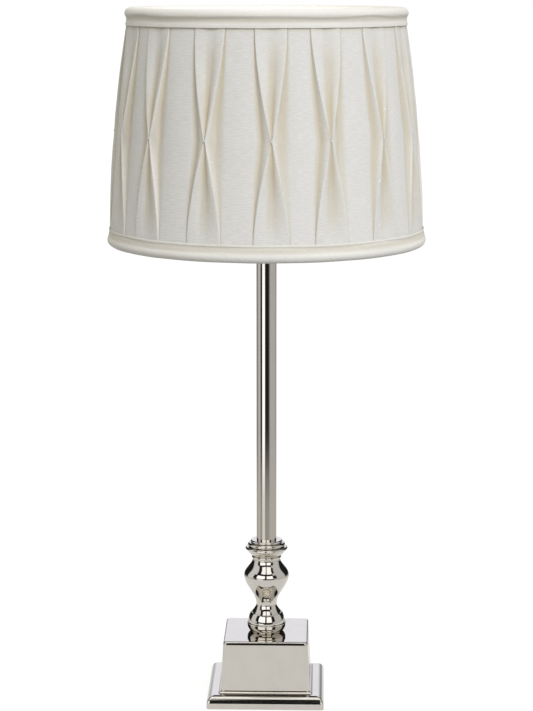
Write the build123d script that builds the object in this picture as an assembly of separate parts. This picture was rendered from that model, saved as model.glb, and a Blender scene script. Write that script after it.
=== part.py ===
from build123d import *
import math
import os

# Table lamp: a weighted square base, turned pieces and a slim tube threaded on one hollow rod,
# a switched lampholder with its lamp, and a pinch-pleated fabric shade clamped by two ring nuts.
# Millimetres, +Z up, origin on the table under the middle of the base, front towards -Y.

# Clearances
SIDE_GAP = 0.3  # between a loose piece and the wall beside it
SPIGOT_GAP = 0.1  # round a spigot or a tube in its socket
ROD_GAP = 0.3  # round the rod in the pieces threaded on it
SEW_GAP = 0.3  # between the layers of the shade
RUN_GAP = 0.1  # round what turns or slides in its seat

# Square base
FOOT_FASCIA = 4.5  # upright edge under the quarter round
FOOT_ROUND = 7.5
FOOT_TREAD = 3.5  # flat between the quarter round and the listel
FOOT_CORNER = 2.5
FOOT_WALL = 4.0
FOOT_LIP = 2.5  # metal left over the cavity
LISTEL_HEIGHT = 2.0
LISTEL_MARGIN = 2.0
PLINTH_BOTTOM = 86.0
PLINTH_TOP = 81.0
PLINTH_HEIGHT = 48.0
PLINTH_WALL = 2.0
PLINTH_ROOF = 3.0
PLINTH_EDGE = 2.8
FELT_THICKNESS = 1.5
FELT_PROUD = 0.5
PLATE_THICKNESS = 2.0
WEIGHT_HEADROOM = 15.5  # under the plinth's roof
WEIGHT_CLEARANCE = 4.4  # to the plinth's walls at the weight's top
LIP_CLEARANCE = 2.0  # round the weight where it passes the foot's lip
RECESS_RADIUS = 14.0
RECESS_DEPTH = 12.0
SCREW_RADIUS = 2.0
SCREW_HEAD_RADIUS = 3.8
SCREW_COVER = 1.5  # iron left over the screws' ends
SCREW_INSET = 15.7  # from the plate's edges
CORD_BORE_RADIUS = 3.5
BUSH_NECK_RADIUS = 5.0
BUSH_FLANGE_RADIUS = 7.0
BUSH_FLANGE = 2.5
BUSH_TAIL = 4.0
BUSH_RISE = 12.0  # axis above the plinth's bottom edge
CORD_SLOT_GAP = 0.5  # each side of the bush's neck
CORD_SLOT_WALL = 1.0  # the slot reaches this far into the nut's recess

# Rod and its fastenings
ROD_RADIUS = 5.0
ROD_WALL = 1.4
ROD_TAIL = 2.0  # rod below the lower nut
ROD_END_GAP = 2.0  # under the lampholder's insert
NUT_WALL = 2.0
NUT_HEIGHT = 4.5
WASHER_RIM = 5.7
WASHER_THICKNESS = 1.5

# Turned pieces of the column
TORUS_HEIGHT = 9.0
TORUS_RADIUS = 18.6
TORUS_SEAT_RADIUS = 15.3
DOME_HEIGHT = 10.0
DOME_RADIUS = 17.7
DOME_LEDGE = 0.9  # dome's top past the vase's foot
VASE_FOOT_RADIUS = 14.2
VASE_HEIGHT = 54.5
VASE_WAIST_RADIUS = 9.9
VASE_WAIST_HEIGHT = 8.5
VASE_BELLY_RADIUS = 21.6
VASE_BELLY_HEIGHT = 37.3
VASE_NECK_RADIUS = 13.5
BEAD_RADII = (14.3, 20.3, 17.9, 15.4)  # collar rings, from the lowest up
BEAD_HEIGHTS = (2.0, 3.4, 4.0, 2.7)
COLLAR_BOWL = 5.9  # bowl between the two lowest rings
TUBE_RADIUS = 9.5
TUBE_WALL = 1.0
TUBE_LENGTH = 307.0
SOCKET_DEPTH = 4.0
CAP_OVERHANG = 2.5
CAP_THICKNESS = 3.0
CAP_SPIGOT = 8.0

# Lampholder
HOLDER_WALL = 1.5
HOLDER_NECK_WALL = 2.7
HOLDER_NECK_HEIGHT = 6.0
HOLDER_SHOULDER = 8.0
HOLDER_FLOOR_GAP = 0.5  # from the shoulder's inside up to the insert
SKIRT_STEP = 1.2  # skirt's ridges past the cap
SKIRT_WALL = 2.1
SKIRT_HEIGHT = 29.0
SKIRT_SPIGOT = 4.0
SKIRT_SHOULDER = 1.5
THREAD_DEPTH = 0.6
THREAD_PITCH = 2.5
INSERT_FLANGE = 2.0
INSERT_FLANGE_STEP = 2.0
INSERT_TAIL_WALL = 2.0  # under the switch bar
INSERT_FLOOR = 3.0
INSERT_WALL = 1.4
SHELL_WALL = 0.4
SHELL_HEIGHT = 15.0
CONTACT_RADIUS = 2.5
CONTACT_STRIP = 0.8
CONTACT_RISE = 2.5
CONTACT_WIDTH = 5.0
BAR_RADIUS = 2.3
BAR_KNOB_RADIUS = 4.0
BAR_KNOB_LENGTH = 7.0
BAR_KNOB_GAP = 0.6  # from the pushed-in knob to the cap
BAR_TRAVEL = 7.0
BAR_COVER = 1.0  # from the bar's hole up to the skirt's spigot
RING_WALL = 8.0
RING_HEIGHT = 5.0
RING_LIFT = 2.0  # lower ring above the skirt's bottom
RING_NOTCHES = 12
RING_NOTCH_RADIUS = 1.6

# Screw lamp
CAP_THREAD_RADIUS = 13.1
CAP_THREAD_PITCH = 3.6
CAP_THREAD_DEPTH = 0.8
CAP_TURNS = 5
CAP_SHELL = 0.5
LAMP_TIP_RADIUS = 4.5
LAMP_TIP_HEIGHT = 1.5
LAMP_GLAZE_HEIGHT = 3.5
LAMP_BODY_RADIUS = 29.5
LAMP_BODY_HEIGHT = 29.0
LAMP_NECK_STEP = 0.5
LAMP_DOME_HEIGHT = 54.0
LAMP_WALL = 1.2

# Shade
SHADE_BOTTOM_DIAMETER = 300.0
SHADE_TOP_DIAMETER = 263.0
SHADE_HEIGHT = 220.0
SHADE_DROP = 56.0  # bottom edge below the carrier ring
LINER_INSET_BOTTOM = 3.2
LINER_INSET_TOP = 5.0
LINER_THICKNESS = 0.6
WIRE_RADIUS = 2.0
TAPE = 0.9
HEM_BAND = 7.5  # flat band above the crease
HEM_LIFT = 0.6
CREASE_STEP = 1.9  # from the roll to the crease
CREASE_GAP = 0.2
TRIM_INNER_LEG = 4.0  # inner leg past the roll's middle
ROLL_TURN = 35.0  # degrees of the roll above its widest line
BAND_START = 0.66  # share of the roll's radius where the sewn layers begin
COVER_THICKNESS = 1.2
PLEATS = 16
PINCH_HEIGHT = 106.0
PINCH_WIDTH = 3.0
PLEAT_SHARE_BOTTOM = 0.52
PLEAT_SHARE_TOP = 0.57
CREST_HEM = 1.2  # fold edges above the flat panels at the hems, half way and at the pinch
CREST_MIDDLE = 3.3
CREST_PINCH = 3.9
VALLEY_DEPTH = 1.6
FOLD_LEAN = 0.7  # degrees from a fold's edge to the panel beside it
TACK_LENGTH = 2.6
TACK_THICKNESS = 1.0
TACK_GAP = 0.2
CARRIER_MARGIN = 4.0  # past the ring nuts
CARRIER_THICKNESS = 1.6
CARRIER_GAP = 1.1
ARMS = 3
ARM_RADIUS = 1.8
ARM_LEVEL = 12.0  # level stretch beside the carrier ring
ARM_BEND = 14.0

# Heights, from the table up
foot_bottom = FELT_PROUD
fascia_top = foot_bottom + FOOT_FASCIA
round_top = fascia_top + FOOT_ROUND
listel_top = round_top + LISTEL_HEIGHT
cavity_top = round_top - FOOT_LIP
plate_top = FELT_THICKNESS + PLATE_THICKNESS
screw_top = cavity_top - SCREW_COVER
recess_top = plate_top + RECESS_DEPTH
plinth_top = listel_top + PLINTH_HEIGHT
roof_bottom = plinth_top - PLINTH_ROOF
weight_top = roof_bottom - WEIGHT_HEADROOM
dome_bottom = plinth_top + TORUS_HEIGHT
vase_bottom = dome_bottom + DOME_HEIGHT
collar_bottom = vase_bottom + VASE_HEIGHT
collar_top = collar_bottom + sum(BEAD_HEIGHTS) + COLLAR_BOWL
tube_bottom = collar_top - SOCKET_DEPTH
tube_top = tube_bottom + TUBE_LENGTH
cap_top = tube_top + CAP_THICKNESS
holder_bottom = cap_top + NUT_HEIGHT
shoulder_top = holder_bottom + HOLDER_NECK_HEIGHT + HOLDER_SHOULDER
insert_bottom = shoulder_top + HOLDER_WALL / 2 + HOLDER_FLOOR_GAP
bar_axis = insert_bottom + INSERT_TAIL_WALL + RUN_GAP + BAR_RADIUS
skirt_bottom = bar_axis + BAR_RADIUS + RUN_GAP + BAR_COVER + SKIRT_SPIGOT
skirt_top = skirt_bottom + SKIRT_HEIGHT
ring_bottom = skirt_bottom + RING_LIFT
carrier_bottom = ring_bottom + RING_HEIGHT
carrier_top = carrier_bottom + CARRIER_THICKNESS
insert_seat = skirt_bottom + SKIRT_SHOULDER
insert_floor = insert_seat + INSERT_FLANGE + INSERT_FLOOR
lower_nut_top = recess_top - WASHER_THICKNESS
rod_bottom = lower_nut_top - NUT_HEIGHT - ROD_TAIL
rod_top = insert_bottom - ROD_END_GAP
bush_axis = listel_top + BUSH_RISE
lamp_tip = insert_floor + CONTACT_STRIP + CONTACT_RISE
lamp_cap_bottom = lamp_tip + LAMP_TIP_HEIGHT + LAMP_GLAZE_HEIGHT
lamp_body_bottom = lamp_cap_bottom + CAP_THREAD_PITCH * CAP_TURNS
lamp_dome_bottom = lamp_body_bottom + LAMP_BODY_HEIGHT
shade_bottom = carrier_bottom - SHADE_DROP
shade_top = shade_bottom + SHADE_HEIGHT
pinch_level = shade_bottom + PINCH_HEIGHT

# Radii and widths that follow from the pieces they fit
rod_hole = ROD_RADIUS + ROD_GAP
listel_width = PLINTH_BOTTOM + 2 * LISTEL_MARGIN
foot_width = listel_width + 2 * (FOOT_TREAD + FOOT_ROUND)
dome_top_radius = VASE_FOOT_RADIUS + DOME_LEDGE
cavity_width = foot_width - 2 * FOOT_WALL
plate_width = cavity_width - 2 * SIDE_GAP
shell_radius = CAP_THREAD_RADIUS + RUN_GAP + SHELL_WALL
insert_cup_radius = shell_radius + SPIGOT_GAP + INSERT_WALL
insert_flange_radius = insert_cup_radius + INSERT_FLANGE_STEP
skirt_bore = insert_flange_radius + SIDE_GAP
skirt_radius = skirt_bore + SKIRT_WALL
holder_radius = skirt_radius - SKIRT_STEP
spigot_radius = holder_radius - HOLDER_WALL - SPIGOT_GAP
shoulder_bore = spigot_radius - SKIRT_WALL
insert_radius = shoulder_bore - SIDE_GAP
ring_bore = skirt_radius + RUN_GAP
ring_radius = ring_bore + RING_WALL
carrier_bore = skirt_radius + CARRIER_GAP
carrier_radius = ring_radius + CARRIER_MARGIN
band_proud = SEW_GAP + COVER_THICKNESS
crease_proud = band_proud + CREASE_GAP + TAPE
hem_proud = crease_proud + HEM_LIFT


def turned(*lines):
    """Solid of revolution about Z from a closed outline drawn as radius and height."""
    return revolve(Plane.XZ * make_face(Wire(Curve() + list(lines))), Axis.Z)


def turned_points(*points):
    """Solid of revolution from straight lines through (radius, height) points."""
    return turned(*Polyline(*points, close=True).edges())


def post(radius, bottom, height):
    """Plain upright cylinder."""
    return Pos(0, 0, bottom) * extrude(Circle(radius), height)


def ring(outer, inner, bottom, height):
    """Plain round washer."""
    return Pos(0, 0, bottom) * extrude(Circle(outer) - Circle(inner), height)


def square(width, bottom, top):
    """Upright square block."""
    return Pos(0, 0, bottom) * extrude(Rectangle(width, width), top - bottom)


def hex_nut(bottom):
    """Thin hexagon nut round the rod."""
    flat = RegularPolygon(ROD_RADIUS + NUT_WALL, 6, major_radius=False) - Circle(ROD_RADIUS)
    return Pos(0, 0, bottom) * extrude(flat, NUT_HEIGHT)


def shade_pattern(piece, count):
    """Copies of a piece evenly spaced about the lamp's axis."""
    return [Rot(0, 0, 360.0 * i / count) * piece for i in range(count)]


def foot_moulding():
    """Square frame with an upright edge, a quarter round and a listel under the plinth."""
    half = foot_width / 2
    reach = half - FOOT_ROUND
    edge = Line((half, foot_bottom), (half, fascia_top))
    curve = RadiusArc((half, fascia_top), (reach, round_top), -FOOT_ROUND)
    over = Line((reach, round_top), (-reach, round_top))
    back = RadiusArc((-reach, round_top), (-half, fascia_top), -FOOT_ROUND)
    rest = Polyline((-half, fascia_top), (-half, foot_bottom), (half, foot_bottom))
    outline = Plane.XZ * make_face(Wire(Curve() + [edge, curve, over, back, *rest.edges()]))
    bar = extrude(outline, foot_width / 2, both=True)
    corners = extrude(RectangleRounded(foot_width, foot_width, FOOT_CORNER), listel_top)
    frame = bar & (Rot(0, 0, 90) * bar) & corners
    frame += square(listel_width, round_top, listel_top)
    frame -= square(cavity_width, foot_bottom, cavity_top)
    return frame - square(weight_side() + 2 * LIP_CLEARANCE, cavity_top, listel_top)


def tapered_block(bottom_width, top_width, bottom, top):
    """Square block whose sides lean in evenly from its bottom to its top."""
    lower = Pos(0, 0, bottom) * Rectangle(bottom_width, bottom_width)
    upper = Pos(0, 0, top) * Rectangle(top_width, top_width)
    return loft([lower, upper], ruled=True)


def plinth_box():
    """Leaning square box, open underneath, with the rod's hole in its roof and the cord's in its back."""
    block = tapered_block(PLINTH_BOTTOM, PLINTH_TOP, listel_top, plinth_top)
    sharp = block.edges().filter_by(Plane.XY, reverse=True) + block.edges().group_by(Axis.Z)[-1]
    block = fillet(sharp, min(PLINTH_EDGE, 1.4 * PLINTH_WALL))
    inner_bottom = PLINTH_BOTTOM - 2 * PLINTH_WALL
    inner_top = 2 * (plinth_half_width(roof_bottom) - PLINTH_WALL)
    block -= tapered_block(inner_bottom, inner_top, listel_top, roof_bottom)
    block -= post(rod_hole, roof_bottom, PLINTH_ROOF)
    return block - cord_hole(BUSH_NECK_RADIUS + SPIGOT_GAP)


def cord_hole(radius):
    """Level cylinder from the lamp's axis out through the back of the plinth."""
    return Pos(0, 0, bush_axis) * Rot(-90, 0, 0) * extrude(Circle(radius), foot_width)


def plinth_half_width(height):
    """Half the plinth's outside width at a height."""
    share = (height - listel_top) / PLINTH_HEIGHT
    return (PLINTH_BOTTOM + (PLINTH_TOP - PLINTH_BOTTOM) * share) / 2


def cord_bush():
    """Flanged bush in the plinth's back wall, with a straight bore for the cord."""
    wall = plinth_half_width(bush_axis)
    start = wall - PLINTH_WALL - BUSH_TAIL
    length = BUSH_TAIL + PLINTH_WALL + BUSH_FLANGE
    neck = extrude(Circle(BUSH_NECK_RADIUS), length)
    head = extrude(Circle(BUSH_FLANGE_RADIUS), length)
    bore = extrude(Circle(CORD_BORE_RADIUS), length)
    place = Pos(0, start, bush_axis) * Rot(-90, 0, 0)
    shadow = tapered_block(PLINTH_BOTTOM, PLINTH_TOP, listel_top, plinth_top)
    flange = (place * head) - shadow
    return flange + (place * neck) - (place * bore)


def weight_side():
    """Width of the weight's upper block, clear of the leaning walls round it."""
    return 2 * (plinth_half_width(weight_top) - PLINTH_WALL - WEIGHT_CLEARANCE)


def weight_block():
    """Iron weight: a flange under the foot's lip and a block inside the plinth."""
    block = square(plate_width, plate_top, cavity_top) + square(weight_side(), cavity_top, weight_top)
    block -= post(rod_hole, plate_top, weight_top - plate_top)
    block -= post(RECESS_RADIUS, plate_top, RECESS_DEPTH)
    slot_start = RECESS_RADIUS - CORD_SLOT_WALL
    slot_depth = weight_side() / 2 - slot_start
    slot_top = bush_axis + BUSH_NECK_RADIUS + CORD_SLOT_GAP
    slot_width = 2 * (BUSH_NECK_RADIUS + CORD_SLOT_GAP)
    slot = Pos(0, slot_start + slot_depth / 2, (plate_top + slot_top) / 2)
    block -= slot * Box(slot_width, slot_depth, slot_top - plate_top)
    for place in screw_places():
        block -= place * post(SCREW_RADIUS, plate_top, screw_top - plate_top)
    return block


def screw_places():
    """Places of the bottom plate's four screws."""
    half = plate_width / 2 - SCREW_INSET
    return [Pos(x, y, 0) for x in (-half, half) for y in (-half, half)]


def plate_screws():
    """Four countersunk screws that hold the bottom plate to the weight."""
    head_top = FELT_THICKNESS + SCREW_HEAD_RADIUS - SCREW_RADIUS
    outline = (
        (0, FELT_THICKNESS),
        (SCREW_HEAD_RADIUS, FELT_THICKNESS),
        (SCREW_RADIUS, head_top),
        (SCREW_RADIUS, screw_top),
        (0, screw_top),
    )
    screw = turned_points(*outline)
    return Compound([place * screw for place in screw_places()])


def bottom_plate():
    """Steel plate that closes the base, countersunk for its screws."""
    plate = square(plate_width, FELT_THICKNESS, plate_top)
    for screw in plate_screws().solids():
        plate -= screw
    return plate


def felt_pad():
    """Felt square that stands just proud of the foot."""
    return square(plate_width, 0, FELT_THICKNESS)


def tie_rod():
    """Hollow rod from under the weight up into the lampholder."""
    return ring(ROD_RADIUS, ROD_RADIUS - ROD_WALL, rod_bottom, rod_top - rod_bottom)


def rod_washer():
    """Washer between the lower nut and the weight."""
    return ring(rod_hole + WASHER_RIM, rod_hole, lower_nut_top, WASHER_THICKNESS)


def base_torus():
    """Cushion ring that stands on the plinth."""
    widest = plinth_top + 0.65 * TORUS_HEIGHT
    bulge = ThreePointArc(
        (TORUS_SEAT_RADIUS, plinth_top),
        (TORUS_RADIUS - 0.2 * (TORUS_RADIUS - TORUS_SEAT_RADIUS), plinth_top + 0.38 * TORUS_HEIGHT),
        (TORUS_RADIUS, widest),
    )
    rest = Polyline(
        (TORUS_RADIUS, widest),
        (TORUS_RADIUS, dome_bottom),
        (rod_hole, dome_bottom),
        (rod_hole, plinth_top),
        (TORUS_SEAT_RADIUS, plinth_top),
    )
    return turned(bulge, *rest.edges())


def dome_turning():
    """Low dome between the cushion ring and the vase."""
    side = ThreePointArc(
        (DOME_RADIUS, dome_bottom),
        (DOME_RADIUS - 0.22 * (DOME_RADIUS - dome_top_radius), dome_bottom + 0.5 * DOME_HEIGHT),
        (dome_top_radius, vase_bottom),
    )
    rest = Polyline(
        (dome_top_radius, vase_bottom),
        (rod_hole, vase_bottom),
        (rod_hole, dome_bottom),
        (DOME_RADIUS, dome_bottom),
    )
    return turned(side, *rest.edges())


def vase_turning():
    """Urn shape: spread foot, narrow waist, full belly and a drawn-in neck."""
    side = Spline(
        (VASE_FOOT_RADIUS, vase_bottom),
        (VASE_WAIST_RADIUS, vase_bottom + VASE_WAIST_HEIGHT),
        (VASE_BELLY_RADIUS, vase_bottom + VASE_BELLY_HEIGHT),
        (VASE_NECK_RADIUS, collar_bottom),
        tangents=[(-0.75, 1), (0, 1), (0, 1), (0.2, 1)],
    )
    rest = Polyline(
        (VASE_NECK_RADIUS, collar_bottom),
        (rod_hole, collar_bottom),
        (rod_hole, vase_bottom),
        (VASE_FOOT_RADIUS, vase_bottom),
    )
    return turned(side, *rest.edges())


def ring_collar():
    """Stack of half-round rings on a small bowl, with a socket for the tube's end."""
    lines = [Line((rod_hole, collar_bottom), (BEAD_RADII[0] - BEAD_HEIGHTS[0] / 2, collar_bottom))]
    level = collar_bottom
    last = None
    for i, (radius, height) in enumerate(zip(BEAD_RADII, BEAD_HEIGHTS)):
        core = radius - height / 2
        if i == 1:
            level += COLLAR_BOWL
            bulge = (last[0] + 0.56 * (core - last[0]), last[1] + 0.44 * COLLAR_BOWL)
            lines.append(ThreePointArc(last, bulge, (core, level)))
        elif last is not None:
            lines.append(Line(last, (core, level)))
        start, crown, end = (core, level), (radius, level + height / 2), (core, level + height)
        lines.append(ThreePointArc(start, crown, end))
        level += height
        last = end
    socket = TUBE_RADIUS + SPIGOT_GAP
    rest = Polyline(
        last,
        (socket, collar_top),
        (socket, tube_bottom),
        (rod_hole, tube_bottom),
        (rod_hole, collar_bottom),
    )
    return turned(*lines, *rest.edges())


def column_tube():
    """Slim upright tube."""
    return ring(TUBE_RADIUS, TUBE_RADIUS - TUBE_WALL, tube_bottom, TUBE_LENGTH)


def tube_cap():
    """Flanged cap with a spigot inside the tube's upper end."""
    spigot = TUBE_RADIUS - TUBE_WALL - SPIGOT_GAP
    rim = TUBE_RADIUS + CAP_OVERHANG
    return turned_points(
        (rod_hole, tube_top - CAP_SPIGOT),
        (spigot, tube_top - CAP_SPIGOT),
        (spigot, tube_top),
        (rim, tube_top),
        (rim, tube_top + CAP_THICKNESS / 2),
        (rim - CAP_THICKNESS / 2, cap_top),
        (rod_hole, cap_top),
    )


def holder_cap():
    """Lower shell of the lampholder, screwed on the rod and pierced for the switch bar."""
    inner = holder_radius - HOLDER_WALL
    neck = rod_hole + HOLDER_NECK_WALL
    neck_top = holder_bottom + HOLDER_NECK_HEIGHT
    shell = turned_points(
        (rod_hole, holder_bottom),
        (neck, holder_bottom),
        (neck, neck_top),
        (holder_radius, shoulder_top),
        (holder_radius, skirt_bottom),
        (inner, skirt_bottom),
        (inner, shoulder_top + HOLDER_WALL / 2),
        (rod_hole, neck_top + HOLDER_WALL / 2),
    )
    return shell - switch_channel()


def switch_channel():
    """Hole along X for the switch bar."""
    long = 2 * ring_radius
    place = Pos(-long / 2, 0, bar_axis) * Rot(0, 90, 0)
    return place * extrude(Circle(BAR_RADIUS + RUN_GAP), long)


def switch_bar():
    """Push-through bar with a knob on each end, shown pushed in from its right-hand side."""
    reach = holder_radius + BAR_KNOB_GAP + BAR_KNOB_LENGTH
    left = -reach - BAR_TRAVEL
    length = reach - left
    knob = extrude(Circle(BAR_KNOB_RADIUS), BAR_KNOB_LENGTH)
    knob = fillet(knob.edges(), BAR_KNOB_RADIUS / 4)
    bar = extrude(Circle(BAR_RADIUS), length)
    bar += knob
    bar += Pos(0, 0, length - BAR_KNOB_LENGTH) * knob
    return Pos(left, 0, bar_axis) * Rot(0, 90, 0) * bar


def ridges(root, crest, bottom, pitch, count):
    """Points of a run of ring ridges, going up."""
    points = []
    for i in range(count):
        low = bottom + i * pitch
        points += [(root, low + 0.15 * pitch), (crest, low + 0.4 * pitch)]
        points += [(crest, low + 0.6 * pitch), (root, low + 0.85 * pitch)]
    return points


def holder_skirt():
    """Upper shell of the lampholder, ridged outside for the shade's ring nuts."""
    count = int((SKIRT_HEIGHT - RING_LIFT) / THREAD_PITCH)
    root = skirt_radius - THREAD_DEPTH
    return turned_points(
        (shoulder_bore, skirt_bottom - SKIRT_SPIGOT),
        (spigot_radius, skirt_bottom - SKIRT_SPIGOT),
        (spigot_radius, skirt_bottom),
        (root, skirt_bottom),
        *ridges(root, skirt_radius, ring_bottom, THREAD_PITCH, count),
        (root, skirt_top),
        (skirt_bore, skirt_top),
        (skirt_bore, insert_seat),
        (shoulder_bore, insert_seat),
    )


def holder_insert():
    """Insulating insert: a tail round the switch, a flange on the skirt's shoulder and a cup."""
    flange_top = insert_seat + INSERT_FLANGE
    cup_top = insert_floor + SHELL_HEIGHT
    insert = turned_points(
        (0, insert_bottom),
        (insert_radius, insert_bottom),
        (insert_radius, insert_seat),
        (insert_flange_radius, insert_seat),
        (insert_flange_radius, flange_top),
        (insert_cup_radius, flange_top),
        (insert_cup_radius, cup_top),
        (shell_radius + SPIGOT_GAP, cup_top),
        (shell_radius + SPIGOT_GAP, insert_floor),
        (0, insert_floor),
    )
    return insert - switch_channel()


def screw_shell():
    """Ridged brass shell that the lamp screws into."""
    root = shell_radius - SHELL_WALL
    crest = CAP_THREAD_RADIUS - CAP_THREAD_DEPTH + RUN_GAP
    top = insert_floor + SHELL_HEIGHT
    first = lamp_cap_bottom + CAP_THREAD_PITCH / 2
    count = max(int((top - first) / CAP_THREAD_PITCH), 1)
    inside = ridges(root, crest, first, CAP_THREAD_PITCH, count)
    return turned_points(
        (shell_radius, insert_floor),
        (shell_radius, top),
        (root, top),
        *reversed(inside),
        (root, insert_floor),
    )


def centre_contact():
    """Brass strip on the insert's floor with a raised button under the lamp's tip."""
    reach = shell_radius - SHELL_WALL - SIDE_GAP
    strip = Pos(0, 0, insert_floor) * extrude(Rectangle(1.6 * reach, CONTACT_WIDTH), CONTACT_STRIP)
    return strip + post(CONTACT_RADIUS, insert_floor, lamp_tip - insert_floor)


def shade_ring_nut(bottom):
    """Notched ring nut on the lampholder's skirt."""
    nut = ring(ring_radius, ring_bore, bottom, RING_HEIGHT)
    notch = Pos(ring_radius, 0, bottom) * extrude(Circle(RING_NOTCH_RADIUS), RING_HEIGHT)
    for cut in shade_pattern(notch, RING_NOTCHES):
        nut -= cut
    return nut


def lamp_tip_contact():
    """Solder contact at the lamp's lower end."""
    return post(LAMP_TIP_RADIUS, lamp_tip, LAMP_TIP_HEIGHT)


def lamp_glaze():
    """Insulating cone between the tip and the screw cap."""
    bottom = lamp_tip + LAMP_TIP_HEIGHT
    return turned_points(
        (0, bottom),
        (LAMP_TIP_RADIUS, bottom),
        (CAP_THREAD_RADIUS - CAP_THREAD_DEPTH, lamp_cap_bottom),
        (0, lamp_cap_bottom),
    )


def lamp_cap():
    """Ridged screw cap of the lamp."""
    root = CAP_THREAD_RADIUS - CAP_THREAD_DEPTH
    return turned_points(
        (root - CAP_SHELL, lamp_cap_bottom),
        (root, lamp_cap_bottom),
        *ridges(root, CAP_THREAD_RADIUS, lamp_cap_bottom, CAP_THREAD_PITCH, CAP_TURNS),
        (root, lamp_body_bottom),
        (root - CAP_SHELL, lamp_body_bottom),
    )


def lamp_body():
    """White moulded body that carries the lamp's diffuser."""
    neck = CAP_THREAD_RADIUS + LAMP_NECK_STEP
    side = Spline(
        (neck, lamp_body_bottom),
        (LAMP_BODY_RADIUS, lamp_dome_bottom),
        tangents=[(0.15, 1), (0.2, 1)],
    )
    rest = Polyline(
        (LAMP_BODY_RADIUS, lamp_dome_bottom),
        (0, lamp_dome_bottom),
        (0, lamp_body_bottom),
        (neck, lamp_body_bottom),
    )
    return turned(side, *rest.edges())


def lamp_diffuser():
    """Opal dome of the lamp, a thin shell."""
    top = lamp_dome_bottom + LAMP_DOME_HEIGHT

    def skin(radius, crown):
        middle = (radius * math.sin(math.pi / 3), lamp_dome_bottom + (crown - lamp_dome_bottom) * 0.62)
        return Spline(
            (radius, lamp_dome_bottom),
            middle,
            (0, crown),
            tangents=[(0.1, 1), (-0.62, 0.8), (-1, 0)],
        )

    outside = skin(LAMP_BODY_RADIUS, top)
    inside = skin(LAMP_BODY_RADIUS - LAMP_WALL, top - LAMP_WALL)
    foot = Line((LAMP_BODY_RADIUS, lamp_dome_bottom), (LAMP_BODY_RADIUS - LAMP_WALL, lamp_dome_bottom))
    crown = Line((0, top), (0, top - LAMP_WALL))
    return turned(outside, crown, inside, foot)


def liner_radius(height):
    """Outside radius of the shade's stiff liner at a height."""
    low = SHADE_BOTTOM_DIAMETER / 2 - LINER_INSET_BOTTOM
    high = SHADE_TOP_DIAMETER / 2 - LINER_INSET_TOP
    return low + (high - low) * (height - shade_bottom) / SHADE_HEIGHT


def edge_facts(lower):
    """Edge height, direction into the shade, edge radius and roll radius of one rim of the shade."""
    edge = shade_bottom if lower else shade_top
    way = 1 if lower else -1
    outer = (SHADE_BOTTOM_DIAMETER if lower else SHADE_TOP_DIAMETER) / 2
    slope = way * (liner_radius(shade_top) - liner_radius(shade_bottom)) / SHADE_HEIGHT
    layers = LINER_THICKNESS + 2 * SEW_GAP + 2 * WIRE_RADIUS + TAPE
    roll = (outer - liner_radius(edge) + layers) / (2 + slope)
    return edge, way, outer, roll


def hem_level(lower):
    """Height of the edge where one trim ends on the pleats."""
    edge, way, _, roll = edge_facts(lower)
    return edge + way * (roll * (1 + math.sin(math.radians(ROLL_TURN))) + CREASE_STEP + HEM_BAND)


def band_level(lower):
    """Height inside one roll where the liner and the cover begin."""
    edge, way, _, roll = edge_facts(lower)
    return edge + way * BAND_START * roll


def rim_wire(lower):
    """Round wire inside one rim of the shade."""
    edge, way, outer, roll = edge_facts(lower)
    radius = outer - 2 * roll + TAPE + SEW_GAP + WIRE_RADIUS
    return Pos(0, 0, edge + way * roll) * Torus(radius, WIRE_RADIUS)


def rim_trim(lower):
    """Folded tape round one rim: a hem band, a crease, a roll round the wire and a short inner leg."""
    edge, way, outer, roll = edge_facts(lower)
    middle = outer - roll
    centre = edge + way * roll
    turn = math.radians(ROLL_TURN)
    crease = centre + way * (roll * math.sin(turn) + CREASE_STEP)
    hem = hem_level(lower)
    leg = centre + way * TRIM_INNER_LEG

    def on_roll(angle, inset):
        reach = roll - inset
        return (middle + reach * math.cos(angle), centre + way * reach * math.sin(angle))

    def roll_arcs(inset):
        stops = [turn, (turn - math.pi / 2) / 2, -math.pi / 2, -0.75 * math.pi, -math.pi]
        points = [on_roll(angle, inset) for angle in stops]
        return [ThreePointArc(*points[:3]), ThreePointArc(*points[2:])]

    def band(inset):
        return Polyline(
            (liner_radius(hem) + hem_proud - inset, hem),
            (liner_radius(crease) + crease_proud - inset, crease),
            on_roll(turn, inset),
        )

    hem_edge = Line(band(0) @ 0, band(TAPE) @ 0)
    inner = Polyline(
        on_roll(-math.pi, 0),
        (middle - roll, leg),
        (middle - roll + TAPE, leg),
        on_roll(-math.pi, TAPE),
    )
    lines = [*band(0).edges(), *roll_arcs(0), *inner.edges(), *roll_arcs(TAPE), *band(TAPE).edges(), hem_edge]
    return turned(*lines)


def cone_shell(bottom, top, inner, outer):
    """Shell that follows the liner, between two distances outside it."""
    return turned_points(
        (liner_radius(bottom) + inner, bottom),
        (liner_radius(bottom) + outer, bottom),
        (liner_radius(top) + outer, top),
        (liner_radius(top) + inner, top),
    )


def liner_drum():
    """Stiff liner that gives the shade its shape."""
    return cone_shell(band_level(True), band_level(False), -LINER_THICKNESS, 0)


def pleat_section(height, share, crest, valley):
    """Outline of the pleated cover at one height: a fold, a hollow, a fold and a flat panel, repeated."""
    base = liner_radius(height)
    pitch = 2 * math.pi / PLEATS
    half = share * pitch / 2
    lean = math.radians(FOLD_LEAN)
    steps = (
        (-half - lean, band_proud),
        (-half, band_proud + crest),
        (0, band_proud + crest - valley),
        (half, band_proud + crest),
        (half + lean, band_proud),
        (pitch / 2, band_proud),
    )
    points = []
    for i in range(PLEATS):
        for angle, proud in steps:
            turn = i * pitch - math.pi / 2 + angle
            points.append(((base + proud) * math.cos(turn), (base + proud) * math.sin(turn), height))
    return Wire(Polyline(*points, close=True).edges())


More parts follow.
